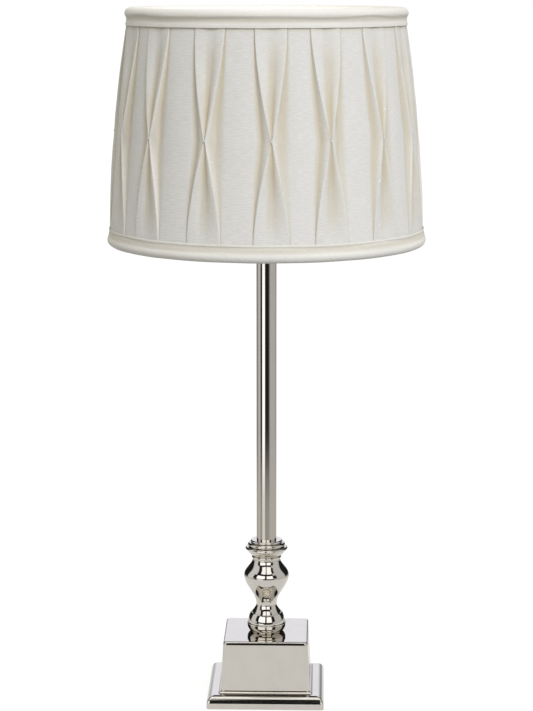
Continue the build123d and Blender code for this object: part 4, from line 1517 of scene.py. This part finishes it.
@dataclass
class PleatedCover:
    """Linen cover: folds that run in from both hems to a pinch, with soft panels between them.

    A pleat's cross-section goes from panel to panel over the left fold, the flute between the folds and the
    right fold. Powers say how early or late a size changes on the way from a hem to the pinch, and tones
    how much painted shade the cloth takes in the gaps beside the folds and in the flute.
    """

    shape: ShadeShape
    left: FoldSide = FoldSide(0.46, 0.62, 0.22, 0.9, 0.8)
    right: FoldSide = FoldSide(0.14, 0.58, 0.06, 1.0, 0.56)
    share: float = 0.56
    gap: float = 0.8
    pinch_half: float = 1.0
    pinch_power: float = 1.5
    panel: float = 1.4
    panel_gain: float = 0.3
    # Where the panel starts and where it has turned, beyond the gap, and its share of the swell there.
    panel_start: float = 0.6
    panel_turn: float = 3.4
    panel_swell: float = 0.45
    crest_hem: float = 0.5
    crest_gain: float = 3.9
    crest_power: float = 0.9
    groove_hem: float = 1.4
    groove_gain: float = 2.0
    groove_power: float = 0.85
    groove_loss: float = 0.6
    groove_floor: float = 0.1
    swell: float = 0.9
    swell_power: float = 0.8
    root: float = 0.85
    root_hem: float = 0.1
    fold_edge: float = 0.45
    edge_share: float = 0.3
    undercut: float = 0.4
    late_power: int = 4
    early_power: int = 3
    # Middle of a fold's wall: its share of the way out and down at a hem, and the change at the pinch.
    wall_out: Point = (0.45, 0.15)
    wall_down: Point = (0.55, -0.2)
    # Floor of the gap beside a fold: two places along it, and the rise of the cloth at its ends.
    gap_stops: Point = (0.3, 0.68)
    gap_rises: Point = (0.06, 0.35)
    # Share of the painted shade at each point of a flank, from the fold's edge to the panel.
    wall_tones: tuple[float, ...] = (0.0, 0.1, 0.75, 0.9, 0.85, 0.65, 0.2, 0.0, 0.0)
    lean_upper: float = 0.06
    lean_lower: float = -0.06
    # The plates beside the flute take this share of the fold, up to a width.
    plate_share: float = 0.34
    plate_most: float = 3.0
    shoulder_drop: float = 0.14
    valley_half: float = 0.2
    slope_out: float = 0.05
    flute_rises: tuple[float, ...] = (0.5, 0.08, 0.0, 0.05, 0.45)
    # Shares of the valley's painted shade across the flute, from left to right.
    flute_tones: tuple[float, ...] = (0.85, 1.0, 1.0, 0.8, 0.35)
    # The flute's painted shade takes its deep part at this rate from the hem, and its shut part between
    # these shares.
    deep_rate: float = 3.2
    shut_range: Point = (0.4, 0.7)
    # Painted shade, deep and shut, of the valley and of the slope on its left; plain and shut of the plate
    # there.
    valley_tone: Point = (0.6, 0.38)
    slope_tone: Point = (0.12, 0.5)
    plate_tone: Point = (0.04, 0.2)
    # Painted shadow under the top trim's lip: how far down it fades out, and its strength at the hem.
    hem_shade: float = 1.3
    hem_tone: float = 0.6
    # How far the cloth reaches under a trim, and how much flatter each millimetre there makes it.
    trim_depth: float = 4.0
    trim_press: float = 0.13
    cloth: float = 0.45
    rows: int = 54
    row_power: float = 1.25

    def fit(self, level: float) -> PleatLevel:
        """Sizes of the pleat at a level.

        Args:
            level: height above the table.

        Returns:
            The sizes.
        """
        shape = self.shape
        pitch = FULL_TURN * (shape.liner(level) + shape.fold_line) / shape.pleats
        upper = level > shape.pinch
        hem = shape.hem_high if upper else shape.hem_low
        t = clamped(1 - (level - shape.pinch) / (hem - shape.pinch))
        under_trim = max((level - hem) if upper else (hem - level), 0.0)
        wide = self.share * pitch / 2
        rise = sin(pi / 2 * t) ** self.crest_power
        crest = self.panel + self.crest_hem + self.crest_gain * rise
        groove = self.groove_hem + self.groove_gain * sin(pi * t**self.groove_power)
        groove -= self.groove_loss * t**self.late_power
        return PleatLevel(
            closeness=t,
            upper=upper,
            pitch=pitch,
            fold=self.pinch_half + (wide - self.pinch_half) * (1 - t**self.pinch_power),
            edge=wide + self.gap,
            crest=crest,
            groove=min(groove, crest - self.root - self.groove_floor),
            floor=self.root + self.root_hem * (1 - t),
            side=self.panel + self.panel_gain * t,
            swell=self.swell * sin(pi * shape.share_up(level)) ** self.swell_power,
            flat=1.0 - self.trim_press * min(under_trim, self.trim_depth),
        )

    def flank(self, fit: PleatLevel, side: FoldSide) -> list[Knot]:
        """Outer side of one fold: its edge, the wall down to the shaded gap, and half the panel.

        Args:
            fit: the pleat's sizes at the level.
            side: which side of the fold it is.

        Returns:
            Knots from the fold's edge outwards, each with its share of painted shade.
        """
        t = fit.closeness
        late, early = t**self.late_power, t**self.early_power
        # Strength of the painted shade on this side: its own above or below the pinch, the mean of both at
        # the pinch.
        middle_tone = (side.tone_upper + side.tone_lower) / 2
        own_tone = side.tone_upper if fit.upper else side.tone_lower
        tone = middle_tone + (own_tone - middle_tone) * (1 - early)
        edge = fit.edge * (1 - side.draw * early)
        top = fit.crest - self.fold_edge
        wall = top - fit.floor
        lip = min(self.fold_edge, self.edge_share * fit.fold)
        spread = side.steep + (side.slope - side.steep) * late
        reach = spread * (edge - fit.fold) - self.undercut * (1 - t) ** self.early_power
        foot = fit.fold + reach
        rest = edge - foot
        out, down = (start + change * late for start, change in (self.wall_out, self.wall_down))
        near, far = self.gap_stops
        near_rise, far_rise = self.gap_rises
        places = [
            (fit.fold - lip, fit.crest),
            (fit.fold, top),
            (fit.fold + out * reach, top - down * wall),
            (foot, fit.floor + near_rise * wall),
            (foot + near * rest, fit.floor),
            (foot + far * rest, fit.floor + far_rise * (fit.side - fit.floor)),
            (edge + self.panel_start, fit.side),
            (edge + self.panel_turn, fit.side + self.panel_swell * fit.swell),
            (fit.pitch / 2, fit.side + fit.swell),
        ]
        return [(s, h, part * tone) for (s, h), part in zip(places, self.wall_tones)]

    def flute(self, fit: PleatLevel) -> list[Knot]:
        """Hollow between the two fold edges, with its valley a little to one side.

        Args:
            fit: the pleat's sizes at the level.

        Returns:
            Knots from the left fold to the right one, each with its share of painted shade.
        """
        t = fit.closeness
        valley = fit.fold * (self.lean_upper if fit.upper else self.lean_lower) * (1 - t)
        plate = fit.fold - min(self.plate_most, self.plate_share * fit.fold)
        half, out = self.valley_half * fit.fold, self.slope_out * fit.fold
        bottom, shoulder = fit.crest - fit.groove, fit.crest - self.shoulder_drop * fit.groove
        start, end = self.shut_range
        # Painted shade in the flute: deep grows from the hem, shut grows as the fold edges close at the
        # pinch.
        deep, shut = min(1.0, self.deep_rate * t), clamped((t - start) / (end - start))
        valley_tone, slope_tone = (a * deep + b * shut for a, b in (self.valley_tone, self.slope_tone))
        left, right = (valley - plate) / 2 - out, (valley + plate) / 2 + out
        across = [left, valley - half, valley, valley + half, right]
        heights = [bottom + rise * fit.groove for rise in self.flute_rises]
        tones = [part * valley_tone for part in self.flute_tones]
        knots = [(-plate, shoulder, self.plate_tone[0] + self.plate_tone[1] * shut)]
        knots += zip(across, heights, [slope_tone, *tones[:-1]])
        return knots + [(plate, shoulder, tones[-1])]

    def row(self, level: float) -> list[Knot]:
        """Whole cross-section of one pleat, as a smooth run through its knots.

        Args:
            level: height above the table.

        Returns:
            Points as (distance along the liner, height above it, share of painted shade).
        """
        fit = self.fit(level)
        left = [(-s, h, painted_shade) for s, h, painted_shade in reversed(self.flank(fit, self.left))]
        whole = left + self.flute(fit) + self.flank(fit, self.right)
        knots = [Vector((s, h * fit.flat, painted_shade)) for s, h, painted_shade in whole]
        before, after = 2 * knots[0] - knots[1], 2 * knots[-1] - knots[-2]
        before.yz, after.yz = knots[1].yz, knots[-2].yz
        ends = [before, *knots, after]
        made = []
        for a, b, c, d in zip(ends, ends[1:], ends[2:], ends[3:]):
            for u in (0.0, 0.5):
                bend = (2 * a - 5 * b + 4 * c - d) * u**2 + (3 * b - a - 3 * c + d) * u**3
                made.append(tuple(0.5 * (2 * b + (c - a) * u + bend)))
        return made + [tuple(knots[-1])]

    def levels(self) -> list[float]:
        """Levels of the rows, from under one trim to under the other, closer at the pinch.

        Returns:
            The levels, upwards.
        """
        low, pinch, high = self.shape.hem_low, self.shape.pinch, self.shape.hem_high
        count = self.rows // 2
        shares = [i / count for i in range(count)]
        made = [low - self.trim_depth, low - self.trim_depth / 2]
        made += [low + (pinch - low) * (1 - (1 - u) ** self.row_power) for u in shares]
        made += [pinch + (high - pinch) * u**self.row_power for u in shares]
        return made + [high, high + self.trim_depth / 2, high + self.trim_depth]

    def pleat(self) -> Mesh:
        """One pleat's cloth at the back of the shade, with its cloth map, painted shade and freedom.

        Returns:
            The mesh.
        """
        shape = self.shape
        rows, painted_shade, free, cloth = [], [], [], []
        for level in self.levels():
            section = self.row(level)
            base = shape.liner(level)
            lengths = [0.0]
            for (s, h, _), (s2, h2, _) in zip(section, section[1:]):
                lengths.append(lengths[-1] + hypot(s2 - s, h2 - h))
            # Painted shadow under the top trim's lip, strongest at the hem.
            trim_shadow = self.hem_tone * (1.0 - (shape.hem_high - level) / self.hem_shade)
            row = []
            for (s, h, depth), length in zip(section, lengths):
                angle = s / (base + shape.fold_line)
                x, y = -(base + h) * sin(angle), (base + h) * cos(angle)
                row.append((x * MM, y * MM, level * MM))
                # Each point keeps the stronger of its fold's painted shade and the painted shadow under the
                # top trim.
                painted_shade.append(clamped(max(depth, trim_shadow)))
                free.append(sin(pi * shape.share_up(level)))
                along = length / lengths[-1] * shape.cloth_width
                cloth.append((along * MM, (level - shape.bottom) * MM))
            rows.append(row)
        mesh = quad_grid("pleat", rows, False, False)
        mark_points(mesh, "painted_shade", painted_shade)
        mark_points(mesh, "free", free)
        layer = mesh.uv_layers.new(name="cloth")
        layer.data.foreach_set("uv", [x for loop in mesh.loops for x in cloth[loop.vertex_index]])
        return mesh

    def build(self) -> Piece:
        """Builds and dresses the cover.

        Returns:
            The cover.
        """
        never_sharp = 180.0
        cover = self.shape.array("linen_cover", self.pleat(), LINEN, self.shape.ripple)
        close_mesh(cover.data, never_sharp)
        outer = cover.data.polygons[len(cover.data.polygons) // 2]
        if outer.normal.dot(Vector((outer.center.x, outer.center.y, 0.0))) < 0:
            cover.data.flip_normals()
        wall = cover.modifiers.new("cloth thickness", "SOLIDIFY")
        wall.thickness = self.cloth * MM
        wall.offset = -1.0
        return settle(cover, Body.SHADE, "shade_cover")


@dataclass
class PinchTacks:
    """Three turns of thread that hold each pinch; start and sweep are in degrees."""

    shape: ShadeShape
    crest: float = 5.85
    sink: float = 1.1
    arch: float = 1.35
    reach: float = 1.425
    start: float = -25.0
    sweep: float = 230.0
    lean: float = 0.35
    thread: float = 0.24
    turns: int = 3
    rise: float = 0.62
    sides: int = 8
    steps: int = 12
    # Cloth coordinates that one step along the thread and one side round it take up.
    map_step: float = 0.5
    map_side: float = 0.2
    crease: float = 60.0

    def path(self, number: int) -> list[Vector]:
        """Middle line of one turn of thread, laid over the two fold edges.

        Args:
            number: the turn, counted upwards.

        Returns:
            Points of the line.
        """
        base = self.shape.liner(self.shape.pinch) + self.crest - self.sink
        level = self.shape.pinch + (number - (self.turns - 1) / 2) * self.rise
        lean = self.lean * (-1) ** number
        made = []
        for i in range(self.steps + 1):
            angle = radians(self.start + self.sweep * i / self.steps)
            aside, out = cos(angle), sin(angle)
            made.append(Vector((self.reach * aside, base + self.arch * out, level + lean * aside)))
        return made

    def spin(self, work: bmesh.types.BMesh, path: list[Vector]) -> None:
        """Lays a thread round a line, with its cloth map and closed ends.

        Args:
            work: mesh that the thread goes into.
            path: the thread's middle line.
        """
        layer = work.loops.layers.uv.verify()
        rings = []
        for i, point in enumerate(path):
            ahead = (path[min(i + 1, self.steps)] - path[max(i - 1, 0)]).normalized()
            across = ahead.cross(Vector((0.0, 0.0, 1.0))).normalized()
            up = across.cross(ahead)
            ring = []
            for a in round_steps(self.sides):
                out = cos(a) * across + sin(a) * up
                ring.append(work.verts.new((point + self.thread * out) * MM))
            rings.append(ring)
        for i, (first, second) in enumerate(zip(rings, rings[1:])):
            for k in range(self.sides):
                n = (k + 1) % self.sides
                face = work.faces.new((first[k], first[n], second[n], second[k]))
                places = ((i, k), (i, k + 1), (i + 1, k + 1), (i + 1, k))
                for loop, (row, column) in zip(face.loops, places):
                    loop[layer].uv = (row * self.map_step * MM, column * self.map_side * MM)
        work.faces.new(list(reversed(rings[0])))
        work.faces.new(rings[-1])

    def stitch(self) -> Mesh:
        """One tack at the back of the shade.

        Returns:
            The mesh.
        """
        work = bmesh.new()
        work.loops.layers.uv.new("cloth")
        for number in range(self.turns):
            self.spin(work, self.path(number))
        mesh = bpy.data.meshes.new("stitch")
        work.to_mesh(mesh)
        work.free()
        mark_points(mesh, "free", [1.0] * len(mesh.vertices))
        return mesh

    def build(self) -> Piece:
        """Builds and dresses the tacks.

        Returns:
            The tacks, as one piece.
        """
        tacks = self.shape.array("thread_tacks", self.stitch(), THREAD, 0.0)
        close_mesh(tacks.data, self.crease)
        return settle(tacks, Body.SHADE, "pinch_tacks")


@dataclass
class RimTrim:
    """Folded tape round one rim: hem lip, hollow band, roll round the wire and a short inner leg.

    Roll turn is the angle in degrees at which the band meets the roll. Sway and ease are how far the crease
    wanders up and down and outwards, and pucker how far the whole tape does.
    """

    shape: ShadeShape
    rim: Rim
    roll: float
    roll_turn: float
    crease_step: float
    crease_proud: float
    lip_height: float
    tape: float = 0.9
    hem_proud: float = 2.9
    hem_drop: float = 0.5
    # The lip's edge is rounded, and stands this far proud at its middle.
    lip_bulge: float = 0.05
    lip_steps: int = 6
    # How much less the band stands out at its shoulder, and how it turns in there and out at the crease.
    shoulder_inset: float = 0.25
    shoulder_turn: float = 0.8
    crease_turn: float = 0.25
    band_steps: int = 8
    roll_steps: int = 30
    leg: float = 4.0
    segments: int = 256
    sharp_from: float = 75.0
    # How far from the crease the sway and the painted shade reach, and the strength of that painted shade.
    crease_reach: float = 3.2
    crease_shade: float = 0.52
    sway: float = 0.7
    ease: float = 0.5
    pucker: float = 0.22
    # Shares of the quicker waves in pucker and sway, of the waves in the pucker, and of the pucker upwards.
    quick_pucker: float = 0.6
    quick_sway: float = 0.7
    wave_share: float = 0.6
    lift_share: float = 0.25
    # Share of the roll's radius up to which the cloth map follows the roll.
    map_share: float = 0.6

    def rim_line(self) -> Point:
        """Level of the rim's edge and its outside radius."""
        top = self.shape.bottom + self.shape.height, self.shape.edge_top
        return (self.shape.bottom, self.shape.edge_bottom) if self.rim is Rim.BOTTOM else top

    def centre(self) -> Point:
        """Radius and level of the roll's centre."""
        edge, outer = self.rim_line()
        return outer - self.roll, edge + self.rim.value * self.roll

    def crease(self) -> float:
        """Level of the crease between the band and the roll."""
        up_roll = self.roll + self.roll * sin(radians(self.roll_turn))
        return self.rim_line()[0] + self.rim.value * (up_roll + self.crease_step)

    def hem(self) -> float:
        """Level of the cover's hem under this trim."""
        return self.shape.hem_low if self.rim is Rim.BOTTOM else self.shape.hem_high

    def on_roll(self, angle: float, inset: float) -> Point:
        """Point of the roll at an angle from straight outwards, a distance inside its skin."""
        (middle, centre), reach = self.centre(), self.roll - inset
        return middle + reach * cos(angle), centre + self.rim.value * reach * sin(angle)

    def band(self, inset: float) -> list[Point]:
        """Points of the band from the hem to the roll, a distance inside its skin.

        Args:
            inset: the distance.

        Returns:
            The points.
        """
        way, hem, crease = self.rim.value, self.hem(), self.crease()
        turn = radians(self.roll_turn)
        shoulder = crease + way * self.lip_height
        start = (self.shape.liner(hem) + self.hem_proud - inset, hem - way * self.hem_drop)
        foot = (self.shape.liner(shoulder) + self.hem_proud - self.shoulder_inset - inset, shoulder)
        low = (self.shape.liner(crease) + self.crease_proud - inset, crease)
        slope = (foot[0] - start[0], foot[1] - start[1])
        knots = [
            (start, slope),
            (foot, (slope[0] - self.shoulder_turn, slope[1])),
            (low, (self.crease_turn, -way)),
            (self.on_roll(turn, inset), (sin(turn), -way * cos(turn))),
        ]
        return smooth_run(knots, self.band_steps)

    def layer(self, inset: float) -> list[Point]:
        """Points of the band, the roll and the inner leg, a distance inside the tape's skin.

        Args:
            inset: the distance.

        Returns:
            The points, from the hem to the end of the leg.
        """
        middle, centre = self.centre()
        turn = radians(self.roll_turn)
        stops = [turn - (turn + pi) * i / self.roll_steps for i in range(1, self.roll_steps + 1)]
        leg = (middle - self.roll + inset, centre + self.rim.value * self.leg)
        return self.band(inset) + [self.on_roll(angle, inset) for angle in stops] + [leg]

    def outline(self) -> Outline:
        """Closed outline of the folded tape.

        Returns:
            The outline.
        """
        skin, inside = self.layer(0.0), self.layer(self.tape)
        middle = (skin[0][0] + inside[0][0]) / 2
        bulge = (middle + self.lip_bulge, self.hem() + self.rim.value * self.lip_bulge)
        lip = arc_points(inside[0], bulge, skin[0], self.lip_steps)
        return Outline().through(skin).through(list(reversed(inside))).through(lip[1:-1])

    def build(self) -> Piece:
        """Builds and dresses the trim.

        Returns:
            The trim.
        """
        name = "tape_bottom" if self.rim is Rim.BOTTOM else "tape_top"
        node = "bottom_trim" if self.rim is Rim.BOTTOM else "top_trim"
        trim = turn_piece(name, self.outline(), TAPE, self.segments, self.sharp_from)
        self.pull(trim.data)
        self.map_cloth(trim.data)
        # Painted shade in the hollow band, strongest at the crease.
        marks = [self.crease_shade * self.nearness(vertex.co) for vertex in trim.data.vertices]
        mark_points(trim.data, "painted_shade", marks)
        return settle(trim, Body.SHADE, node)

    def nearness(self, point: Vector) -> float:
        """How near a point of the outer side is to the crease, up to 1; the inner side has 0."""
        away = (point.z / MM - self.crease()) / self.crease_reach
        return 0.0 if hypot(point.x, point.y) / MM < self.centre()[0] else exp(-(away**2))

    def pull(self, mesh: Mesh) -> None:
        """Gives the tape the slight unevenness of glued cloth, up and down and in and out.

        Waves come in whole numbers to the turn, so that the tape closes on itself.

        Args:
            mesh: the trim's mesh.
        """
        for vertex in mesh.vertices:
            near = self.nearness(vertex.co)
            angle = atan2(vertex.co.y, vertex.co.x)
            wave = self.quick_pucker * round_wave(angle, 41, bend=2.0, bends=3)
            wave += round_wave(angle, 23, start=1.0) * round_wave(angle, 5)
            slow = self.quick_sway * round_wave(angle, 12, bend=2.0, bends=2)
            slow += round_wave(angle, 7, start=0.8)
            radius = hypot(vertex.co.x, vertex.co.y)
            inward = self.pucker / 2 * (1 + self.wave_share * wave)
            outward = self.ease * near * (1 + round_wave(angle, 9, start=2.6)) / 2
            scale = 1 + (outward - inward) * MM / radius
            vertex.co.x *= scale
            vertex.co.y *= scale
            lift = self.lift_share * self.pucker * round_wave(angle, 17, start=0.5)
            vertex.co.z += (lift + self.sway * near * slow) * MM

    def map_cloth(self, mesh: Mesh) -> None:
        """Lays the cloth map on the tape: length round the rim and distance along the outline.

        Args:
            mesh: the trim's mesh.
        """
        outer = self.rim_line()[1]
        middle, centre = self.centre()
        bend = self.map_share * self.roll
        layer = mesh.uv_layers.new(name="cloth")
        for face in mesh.polygons:
            facing = atan2(face.center.y, face.center.x)
            for index in face.loop_indices:
                point = mesh.vertices[mesh.loops[index].vertex_index].co
                angle = atan2(point.y, point.x)
                angle += FULL_TURN * round((facing - angle) / FULL_TURN)
                radius = hypot(point.x, point.y) / MM
                height = (point.z / MM - centre) * self.rim.value
                around = self.roll * atan2(height, radius - middle) if height < bend else height + bend
                layer.data[index].uv = (angle * outer * MM, around * MM)


@dataclass
class PleatedShade:
    """The whole dressed shade: cover, tacks and the two trims."""

    shape: ShadeShape

    def build(self) -> None:
        """Builds the shade's cover, tacks and two trims."""
        shape = self.shape
        cover = PleatedCover(shape).build()
        tacks = PinchTacks(shape).build()
        bottom = RimTrim(
            shape, Rim.BOTTOM, roll=4.875, roll_turn=30.0, crease_step=4.2, crease_proud=2.3, lip_height=2.8
        )
        top = RimTrim(
            shape, Rim.TOP, roll=5.305, roll_turn=4.0, crease_step=3.0, crease_proud=2.7, lip_height=4.2
        )
        trims = [bottom.build(), top.build()]


def dress_kept_nodes() -> None:
    """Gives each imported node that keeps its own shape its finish."""
    for finish, names in KEPT_NODES.items():
        for name in names:
            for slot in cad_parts[name].material_slots:
                slot.material = finish.material()
            log.info("%s: finish %s", name, finish.name)


def light_boxes(*boxes: tuple[float, ...], dark: float = 0.015) -> tuple[Point, ...]:
    """Lays light boxes round the horizon, with dark flags between them.

    Args:
        *boxes: for each box the angles where it begins, is full, ebbs and ends, and its brightness.
        dark: brightness of the flags.

    Returns:
        (angle, brightness) stops of the whole horizon.
    """
    stops = [(-180.0, dark)]
    for start, full, ebb, end, light in boxes:
        stops += [(start, dark), (full, light), (ebb, light), (end, dark)]
    return (*stops, (180.0, dark))


@dataclass
class Studio:
    """Pale floor, soft light with light boxes for the metal to mirror, and the camera.

    Lengths are in metres and angles in degrees. Angles round the horizon count from the camera's direction.
    """

    distance: float = 2.0
    camera_height: float = 0.694
    azimuth: float = 1.5
    pitch: float = 10.19
    lens: float = 107.9
    sensor: float = 36.0
    sight: float = 200.0
    ambient: float = 0.35
    overhead: float = 0.6
    warmth: Rgb = (1.025, 1.0, 0.92)
    key: float = 1.66
    key_colour: Rgb = (0.965, 0.985, 1.05)
    key_turn: float = 29.5
    key_rise: float = 35.0
    key_width: float = 32.0
    glow: float = 0.9
    glow_height: float = 0.575
    glow_radius: float = 0.045
    floor_reach: float = 40.0
    # The floor's grey for light and for the camera, and its lift for the camera and for mirrors.
    floor_grey: Rgb = (0.35, 0.35, 0.35)
    floor_seen: Rgb = (0.15, 0.15, 0.15)
    lift_seen: float = 0.89
    lift_mirrored: float = 0.44
    # Mirrors see the floor itself up to this distance from the lamp and, past a fade, what lies beyond.
    near_floor: float = 0.36
    near_fade: float = 0.05
    far_floor: Rgb = (0.58, 0.57, 0.54)
    # Rises between which the mirrored far floor passes into the lowest light boxes, and their shares there.
    far_range: Point = (-14.4, -12.2)
    far_shares: Point = (0.3, 1.0)
    low_boxes: tuple[Point, ...] = (
        (-180, 0.10), (-150, 0.12), (-96, 0.64), (-77, 0.64), (-73, 0.02), (-52, 0.02), (-48, 1.6),
        (-20, 1.6), (-16, 0.015), (24, 0.015), (46, 0.56), (112, 0.54), (150, 0.34), (180, 0.10),
    )
    bar: tuple[Point, ...] = light_boxes((-116, -108, -66, -62, 0.80), (38, 42, 108, 116, 0.64))
    window: tuple[Point, ...] = light_boxes(
        (-114, -107, -76, -72, 0.78), (-54, -51, -10, -8, 1.6), (0, 2, 33, 36, 1.5),
        (54, 58, 107, 114, 0.64),
    )
    upper: tuple[Point, ...] = light_boxes(
        (-112, -104, -66, -62, 0.70), (-42, -38, -8, -6, 1.4), (0, 2, 38, 42, 1.4),
        (56, 60, 104, 112, 0.62),
    )
    # Rises at which a bar, the window, a bar, the upper boxes and a last bar begin, over a fade.
    tier_starts: tuple[float, ...] = (-8.0, 0.5, 36.0, 49.0, 62.0)
    tier_fade: float = 2.0
    zenith: Rgb = (1.4, 1.4, 1.4)
    zenith_range: Point = (69.0, 72.0)
    # White backdrop behind the lamp: shares of a turn aside, and rises where it begins and ends.
    backdrop: Rgb = (1.0, 1.02, 1.12)
    backdrop_aside: Point = (0.43, 0.47)
    backdrop_low: Point = (-2.0, 1.0)
    backdrop_high: Point = (22.0, 32.0)

    def build(self) -> None:
        """Sets up the floor, the light and the camera."""
        view = bpy.context.scene.view_settings
        view.view_transform = "Standard"
        view.look = "None"
        self.build_floor()
        self.build_world()
        self.build_key()
        self.build_glow()
        self.build_camera()

    def build_floor(self) -> None:
        """Lays the pale floor; mirrors see it near the lamp only, and the light boxes beyond."""
        reach = self.floor_reach
        corners = [(-reach, -reach, 0), (reach, -reach, 0), (reach, reach, 0), (-reach, reach, 0)]
        mesh = bpy.data.meshes.new("floor")
        mesh.from_pydata(corners, [], [(0, 1, 2, 3)])
        paper = bpy.data.materials.new("white paper floor")
        mesh.materials.append(paper)
        sheet = NodeSheet.fresh(paper)
        rays = sheet.add("ShaderNodeLightPath").outputs
        seen, mirrored = rays["Is Camera Ray"], rays["Is Glossy Ray"]
        matt = sheet.get("ShaderNodeBsdfDiffuse", {0: sheet.blend(seen, self.floor_grey, self.floor_seen)})
        to_camera = sheet.math("MULTIPLY", seen, self.lift_seen)
        to_mirrors = sheet.math("MULTIPLY", mirrored, self.lift_mirrored)
        lift = sheet.get("ShaderNodeEmission", {"Strength": sheet.math("ADD", to_camera, to_mirrors)})
        lit = sheet.get("ShaderNodeAddShader", {0: matt, 1: lift})
        place = sheet.add("ShaderNodeTexCoord").outputs["Object"]
        away = sheet.add("ShaderNodeVectorMath", {0: place}, operation="LENGTH").outputs["Value"]
        far = sheet.span(away, self.near_floor, self.near_floor + self.near_fade)
        clear = sheet.get("ShaderNodeBsdfTransparent")
        feeds = {0: sheet.math("MULTIPLY", far, mirrored), 1: lit, 2: clear}
        sheet.add("ShaderNodeOutputMaterial", {0: sheet.get("ShaderNodeMixShader", feeds)})
        put_in_scene("floor", mesh)

    def ramp(self, sheet: NodeSheet, boxes: tuple[Point, ...], turn: Socket) -> Socket:
        """Brightness of the light boxes round the horizon.

        Args:
            sheet: the world's node sheet.
            boxes: (angle, brightness) stops.
            turn: angle as a share of the full turn.

        Returns:
            The brightness.
        """
        node = sheet.add("ShaderNodeValToRGB", {0: turn})
        stops = node.color_ramp.elements
        while len(stops) < len(boxes):
            stops.new(0.5)
        for stop, (angle, light) in zip(stops, boxes):
            stop.position = (angle + 180.0) / 360.0
            stop.color = (light, light, light, 1.0)
        return node.outputs[0]

    def sky(self, sheet: NodeSheet, axes: Sockets) -> Socket:
        """What mirrors see round the lamp: light boxes, dark flags, a lit ceiling and a white backdrop.

        Args:
            sheet: the world's node sheet.
            axes: the three parts of the direction looked in.

        Returns:
            The colour.
        """
        x, y, z = axes
        front = sheet.math("MULTIPLY", y, -1.0)
        angle = sheet.math("SUBTRACT", sheet.math("ARCTAN2", x, front), radians(self.azimuth))
        turn = sheet.math("FRACT", sheet.math("ADD", sheet.math("DIVIDE", angle, FULL_TURN), 0.5))
        rise = sheet.math("DEGREES", sheet.math("ARCSINE", z))
        low_share = sheet.span(rise, *self.far_range, *self.far_shares)
        sky = sheet.blend(low_share, self.far_floor, self.ramp(sheet, self.low_boxes, turn))
        tiers = (self.bar, self.window, self.bar, self.upper, self.bar)
        for start, boxes in zip(self.tier_starts, tiers):
            share = sheet.span(rise, start, start + self.tier_fade)
            sky = sheet.blend(share, sky, self.ramp(sheet, boxes, turn))
        sky = sheet.blend(sheet.span(rise, *self.zenith_range), sky, self.zenith)
        aside = sheet.math("ABSOLUTE", sheet.math("SUBTRACT", turn, 0.5))
        behind = sheet.span(aside, *self.backdrop_aside)
        above = sheet.span(rise, *self.backdrop_low)
        below = sheet.span(rise, *self.backdrop_high, 1.0, 0.0)
        return sheet.blend(sheet.math("MULTIPLY", behind, above, below), sky, self.backdrop)

    def build_world(self) -> None:
        """Gives soft even light to cloth, and the light boxes and flags to mirrors."""
        world = bpy.data.worlds.new("soft studio")
        bpy.context.scene.world = world
        sheet = NodeSheet.fresh(world)
        towards = sheet.add("ShaderNodeTexCoord").outputs["Generated"]
        axes = sheet.add("ShaderNodeSeparateXYZ", {0: towards}).outputs
        mirror = sheet.get("ShaderNodeBackground", {0: self.sky(sheet, tuple(axes))})
        rays = sheet.add("ShaderNodeLightPath").outputs
        above = sheet.math("MULTIPLY", sheet.math("MAXIMUM", axes[2], 0.0), self.overhead)
        fill = sheet.blend(sheet.math("ADD", above, self.ambient), (0.0, 0.0, 0.0), self.warmth)
        seen = sheet.blend(rays["Is Camera Ray"], fill, (1.0, 1.0, 1.0))
        soft = sheet.get("ShaderNodeBackground", {0: seen})
        choice = sheet.get("ShaderNodeMixShader", {0: rays["Is Glossy Ray"], 1: soft, 2: mirror})
        sheet.add("ShaderNodeOutputWorld", {0: choice})

    def build_key(self) -> None:
        """Adds the broad key light from the right, unseen by mirrors."""
        light = bpy.data.lights.new("key", "SUN")
        light.energy = self.key
        light.angle = radians(self.key_width)
        light.color = self.key_colour
        key = put_in_scene("key", light)
        key.rotation_euler = (pi / 2 - radians(self.key_rise), 0.0, radians(self.key_turn))
        key.visible_glossy = False

    def build_glow(self) -> None:
        """Adds a faint round light about the lamp, which keeps the inside of the shade bright."""
        light = bpy.data.lights.new("glow", "POINT")
        light.energy = self.glow
        light.shadow_soft_size = self.glow_radius
        glow = put_in_scene("glow", light)
        glow.location = (0.0, 0.0, self.glow_height)
        glow.visible_camera = False
        glow.visible_glossy = False

    def build_camera(self) -> None:
        """Adds the camera at the photograph's view."""
        data = bpy.data.cameras.new("camera")
        data.sensor_fit = "VERTICAL"
        data.sensor_height = self.sensor
        data.lens = self.lens
        data.clip_end = self.sight
        camera = put_in_scene("camera", data)
        turn = radians(self.azimuth)
        x, y = self.distance * sin(turn), -self.distance * cos(turn)
        camera.location = (x, y, self.camera_height)
        camera.rotation_euler = (pi / 2 - radians(self.pitch), 0.0, turn)
        bpy.context.scene.camera = camera


def main() -> None:
    """Builds the studio and the lamp's sub-assemblies in order."""
    logging.basicConfig(level=logging.INFO, format="%(name)s: %(message)s")
    Studio().build()
    base = SquareBase()
    base.build()
    TurnedColumn(base.plinth_top, base.rod_hole).build()
    PleatedShade(ShadeShape()).build()
    dress_kept_nodes()


if __name__ == "__main__":
    main()
